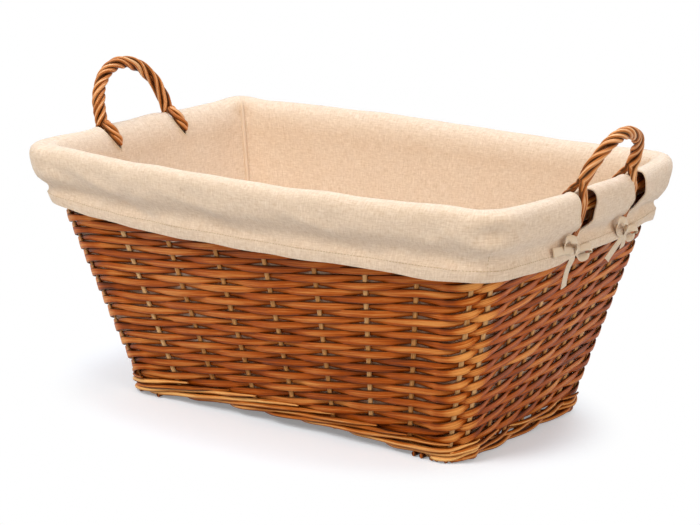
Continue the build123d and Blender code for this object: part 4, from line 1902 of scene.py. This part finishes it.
@dataclass
class TapeBow:
    """A tape bow that ties a slit at the hem: knot, two loops and two tails.

    Stops are given from the knot, as along the wall, up its slope and out from it.
    """

    plan: Plan
    looks: Finishes
    sweep: Tree
    grip: Grip
    leg: float
    word: str
    near: bool
    shift: float = 9.5
    height: float = 219.0
    lift: float = 13.6
    tape: float = 9.5
    loops: tuple[tuple[Point, ...], ...] = (
        ((0, 0, 1), (-7, 7, 5), (-16, 15, 6), (-23, 16, 4), (-24, 9, 1.5), (-17, 2, 0.5), (-8, -1, 0.5), (0, 0, 0)),
        ((0, 0, 1), (8, 2, 5), (18, 1, 7), (25, -4, 5), (24, -10, 2.5), (15, -11, 1), (7, -6, 0.5), (0, 0, 0)),
    )
    near_tails: tuple[tuple[Point, ...], ...] = (
        ((0, 0, 0), (-10, 2, 3.5), (-20, 4, 3.5), (-31, 5, 3), (-42, 5, 2.5)),
        ((0, 0, 0), (-4, -8, 3), (-5, -18, 2.5), (-3, -30, 2), (0, -40, 2)),
    )
    far_tails: tuple[tuple[Point, ...], ...] = (
        ((0, 0, 0), (-6, -6, 3), (-12, -13, 3), (-18, -20, 2.5), (-23, -27, 2)),
        ((0, 0, 0), (2, -7, 3), (4, -13, 3), (6, -19, 2.5)),
    )
    knot: tuple[Point, ...] = ((-1.5, 4.5, 1.5), (-1, 2, 3.6), (0, -1, 4.0), (1, -4.5, 1.5))

    def spot(self, along: float, up: float, out: float) -> Array:
        """A point beside the knot, by its distance along the wall, up its slope and out from it."""
        y, z = self.leg + self.shift + along, self.height + up
        return np.array([self.grip.sign * (self.plan.rim_out(y, z) + self.lift + out), y, z])

    def ribbon(self, runs: Runs, stops: tuple[Point, ...], facing: Point, wide: tuple[float, ...]) -> None:
        """Add one length of tape.

        Args:
            runs: The bow so far.
            stops: Stops of the tape.
            facing: Where the tape's face looks, as along, up and out.
            wide: Shares of the full width, spread along the tape.
        """
        line = smooth_run(np.array([self.spot(*stop) for stop in stops]), 6)
        share = np.interp(np.linspace(0, 1, len(line)), np.linspace(0, 1, len(wide)), wide)
        runs.add(line, np.array([self.grip.sign * facing[2], facing[0], facing[1]]), share)

    def build(self) -> Piece:
        """Tie the bow.

        Returns:
            The bow.
        """
        runs = Runs()
        # Loops stand open, one up to the near side and one down to the far side
        for stops in self.loops:
            self.ribbon(runs, stops, (0.2, 0.5, 1.0), (0.5, 0.9, 1.0, 1.0, 0.9, 0.5))
        for i, stops in enumerate(self.near_tails if self.near else self.far_tails):
            self.ribbon(runs, stops, (0.15 - 0.3 * i, 0.2, 1.0), (0.5, 0.85, 0.9, 1.0, 1.1))
        # The knot is the same tape drawn tight round the crossing
        self.ribbon(runs, self.knot, (0, 0, 1.0), (0.75, 0.85, 0.85, 0.7))
        piece = runs.grow(f"tape_bow_{self.word}", self.sweep, section(self.tape, 0.6, 0.6, 10), self.looks.tape)
        return settle(piece, Slot.TAPE, f"bow_{self.word}")


# ---------------------------------------------------------------- studio


@dataclass(frozen=True)
class Studio:
    """Pale floor, soft light and the camera, in metres."""

    target: Point = (-0.0149, 0.0192, 0.1483)
    distance: float = 2.4099
    azimuth: float = 35.9
    elevation: float = 14.06
    lens: float = 113.14
    sensor: float = 36.0
    floor_half: float = 9.0
    floor_colour: str = "#E8ECF1"
    floor_lift: float = 0.24
    bounce_colour: str = "#C8C8C8"
    sky_fill: float = 0.5
    shade_shift: Point = (0.03, 0.015, 0.0)
    shade_half: tuple[float, float] = (0.3, 0.21)
    lamp_target: Point = (0.0, 0.0, 0.12)
    lamps: tuple[tuple[str, Point, float, float, str], ...] = (
        ("key", (-0.55, -2.1, 2.3), 1.4, 49.0, "#FFFFFF"),
        ("fill", (2.8, -0.7, 1.4), 1.6, 24.0, "#FFF6EC"),
        ("top", (0.2, 0.5, 2.6), 1.8, 46.0, "#D2E4FF"),
    )

    def aimed(self, name: str, data: bpy.types.ID, place: Vector, ahead: Vector) -> Piece:
        """Stand a camera or lamp up and turn it.

        Args:
            name: Name of the object.
            data: The camera or lamp.
            place: Where it stands.
            ahead: Where it looks.

        Returns:
            The object.
        """
        piece = placed(name, data)
        piece.location = place
        piece.rotation_mode = "QUATERNION"
        piece.rotation_quaternion = ahead.to_track_quat("-Z", "Y")
        return piece

    def camera(self) -> None:
        """Stand the camera at the front right, a little above the rim."""
        a, e = math.radians(self.azimuth), math.radians(self.elevation)
        back = Vector((math.sin(a) * math.cos(e), -math.cos(a) * math.cos(e), math.sin(e)))
        data = bpy.data.cameras.new("camera")
        data.lens, data.sensor_width, data.sensor_fit = self.lens, self.sensor, "HORIZONTAL"
        data.clip_start, data.clip_end = 0.05, 60.0
        eye = self.aimed("camera", data, Vector(self.target) + back * self.distance, -back)
        bpy.context.scene.camera = eye

    def lamp(self, name: str, place: Point, size: float, watts: float, colour: str) -> None:
        """Hang a soft square lamp that looks at the basket.

        Args:
            name: Name of the lamp.
            place: Where it hangs.
            size: Length of its side.
            watts: Its power.
            colour: Its colour as sRGB hex.
        """
        data = bpy.data.lights.new(name, "AREA")
        data.shape, data.size, data.energy = "SQUARE", size, watts
        data.color = linear(colour)[:3]
        self.aimed(name, data, Vector(place), Vector(self.lamp_target) - Vector(place))

    def floor(self) -> None:
        """Lay a pale floor that keeps the basket's shadow and looks white elsewhere."""
        half = self.floor_half
        mesh = bpy.data.meshes.new("floor")
        mesh.from_pydata([(-half, -half, 0), (half, -half, 0), (half, half, 0), (-half, half, 0)], [], [(0, 1, 2, 3)])
        made, tree = new_material("pale_floor")
        matt, dull = (
            add_node(tree, "ShaderNodeBsdfDiffuse", None, {"Color": linear(colour)}).outputs[0]
            for colour in (self.floor_colour, self.bounce_colour)
        )
        white, lift = (
            add_node(tree, "ShaderNodeEmission", None, {"Color": (1, 1, 1, 1), "Strength": strength}).outputs[0]
            for strength in (1.0, self.floor_lift)
        )
        rays = add_node(tree, "ShaderNodeLightPath").outputs
        seen = calc(tree, "MAXIMUM", rays["Is Camera Ray"], rays["Is Glossy Ray"])
        # The shadow is kept in an oval round the basket and fades to white beyond it
        place = add_node(tree, "ShaderNodeTexCoord").outputs["Object"]
        place = add_node(tree, "ShaderNodeVectorMath", None, {0: place, 1: self.shade_shift}).outputs[0]
        oval = stretched(tree, place, (1 / self.shade_half[0], 1 / self.shade_half[1], 0.0))
        far = add_node(tree, "ShaderNodeVectorMath", {"operation": "LENGTH"}, {0: oval}).outputs["Value"]
        fade = mapped(tree, far, (0.9, 1.2), (0.0, 1.0))
        near = add_node(tree, "ShaderNodeAddShader", None, {0: matt, 1: lift}).outputs[0]
        ground = add_node(tree, "ShaderNodeMixShader", None, {0: fade, 1: near, 2: white}).outputs[0]
        shader = add_node(tree, "ShaderNodeMixShader", None, {0: seen, 1: dull, 2: ground}).outputs[0]
        add_node(tree, "ShaderNodeOutputMaterial", None, {0: shader})
        mesh.materials.append(made)
        placed("floor", mesh)

    def sky(self) -> None:
        """Fill the room with soft white light."""
        world = bpy.data.worlds.new("studio")
        bpy.context.scene.world = world
        world.use_nodes = True
        tree = world.node_tree
        tree.nodes.clear()
        ray = add_node(tree, "ShaderNodeLightPath").outputs["Is Camera Ray"]
        fill, white = (
            add_node(tree, "ShaderNodeBackground", None, {"Color": (1, 1, 1, 1), "Strength": strength}).outputs[0]
            for strength in (self.sky_fill, 1.0)
        )
        mix = add_node(tree, "ShaderNodeMixShader", None, {0: ray, 1: fill, 2: white})
        add_node(tree, "ShaderNodeOutputWorld", None, {0: mix.outputs[0]})

    def build(self) -> None:
        """Set up the whole studio."""
        bpy.context.scene.view_settings.view_transform = "Standard"
        self.camera()
        self.floor()
        self.sky()
        for lamp in self.lamps:
            self.lamp(*lamp)


def main() -> None:
    """Build the basket piece by piece, and log each piece's face count."""
    logging.basicConfig(level=logging.INFO, format="%(name)s %(message)s")
    Studio().build()
    plan, looks = Plan(), Finishes()
    sweep, stitch = sweep_tree(), stitch_tree()
    WovenWall(plan, looks, sweep).build()
    WovenBase(looks, sweep).build()
    for grip in (LEFT_GRIP, RIGHT_GRIP):
        RopedHandle(plan, looks, sweep, grip).build()
    Lining(plan, looks, sweep, stitch, {Side.LEFT: LEFT_GRIP, Side.RIGHT: RIGHT_GRIP}).build()
    for grip in (LEFT_GRIP, RIGHT_GRIP):
        for leg, word in zip(grip.legs, ("front", "back")):
            TapeBow(plan, looks, sweep, grip, leg, f"{grip.word}_{word}", near=word == "front").build()


if __name__ == "__main__":
    main()
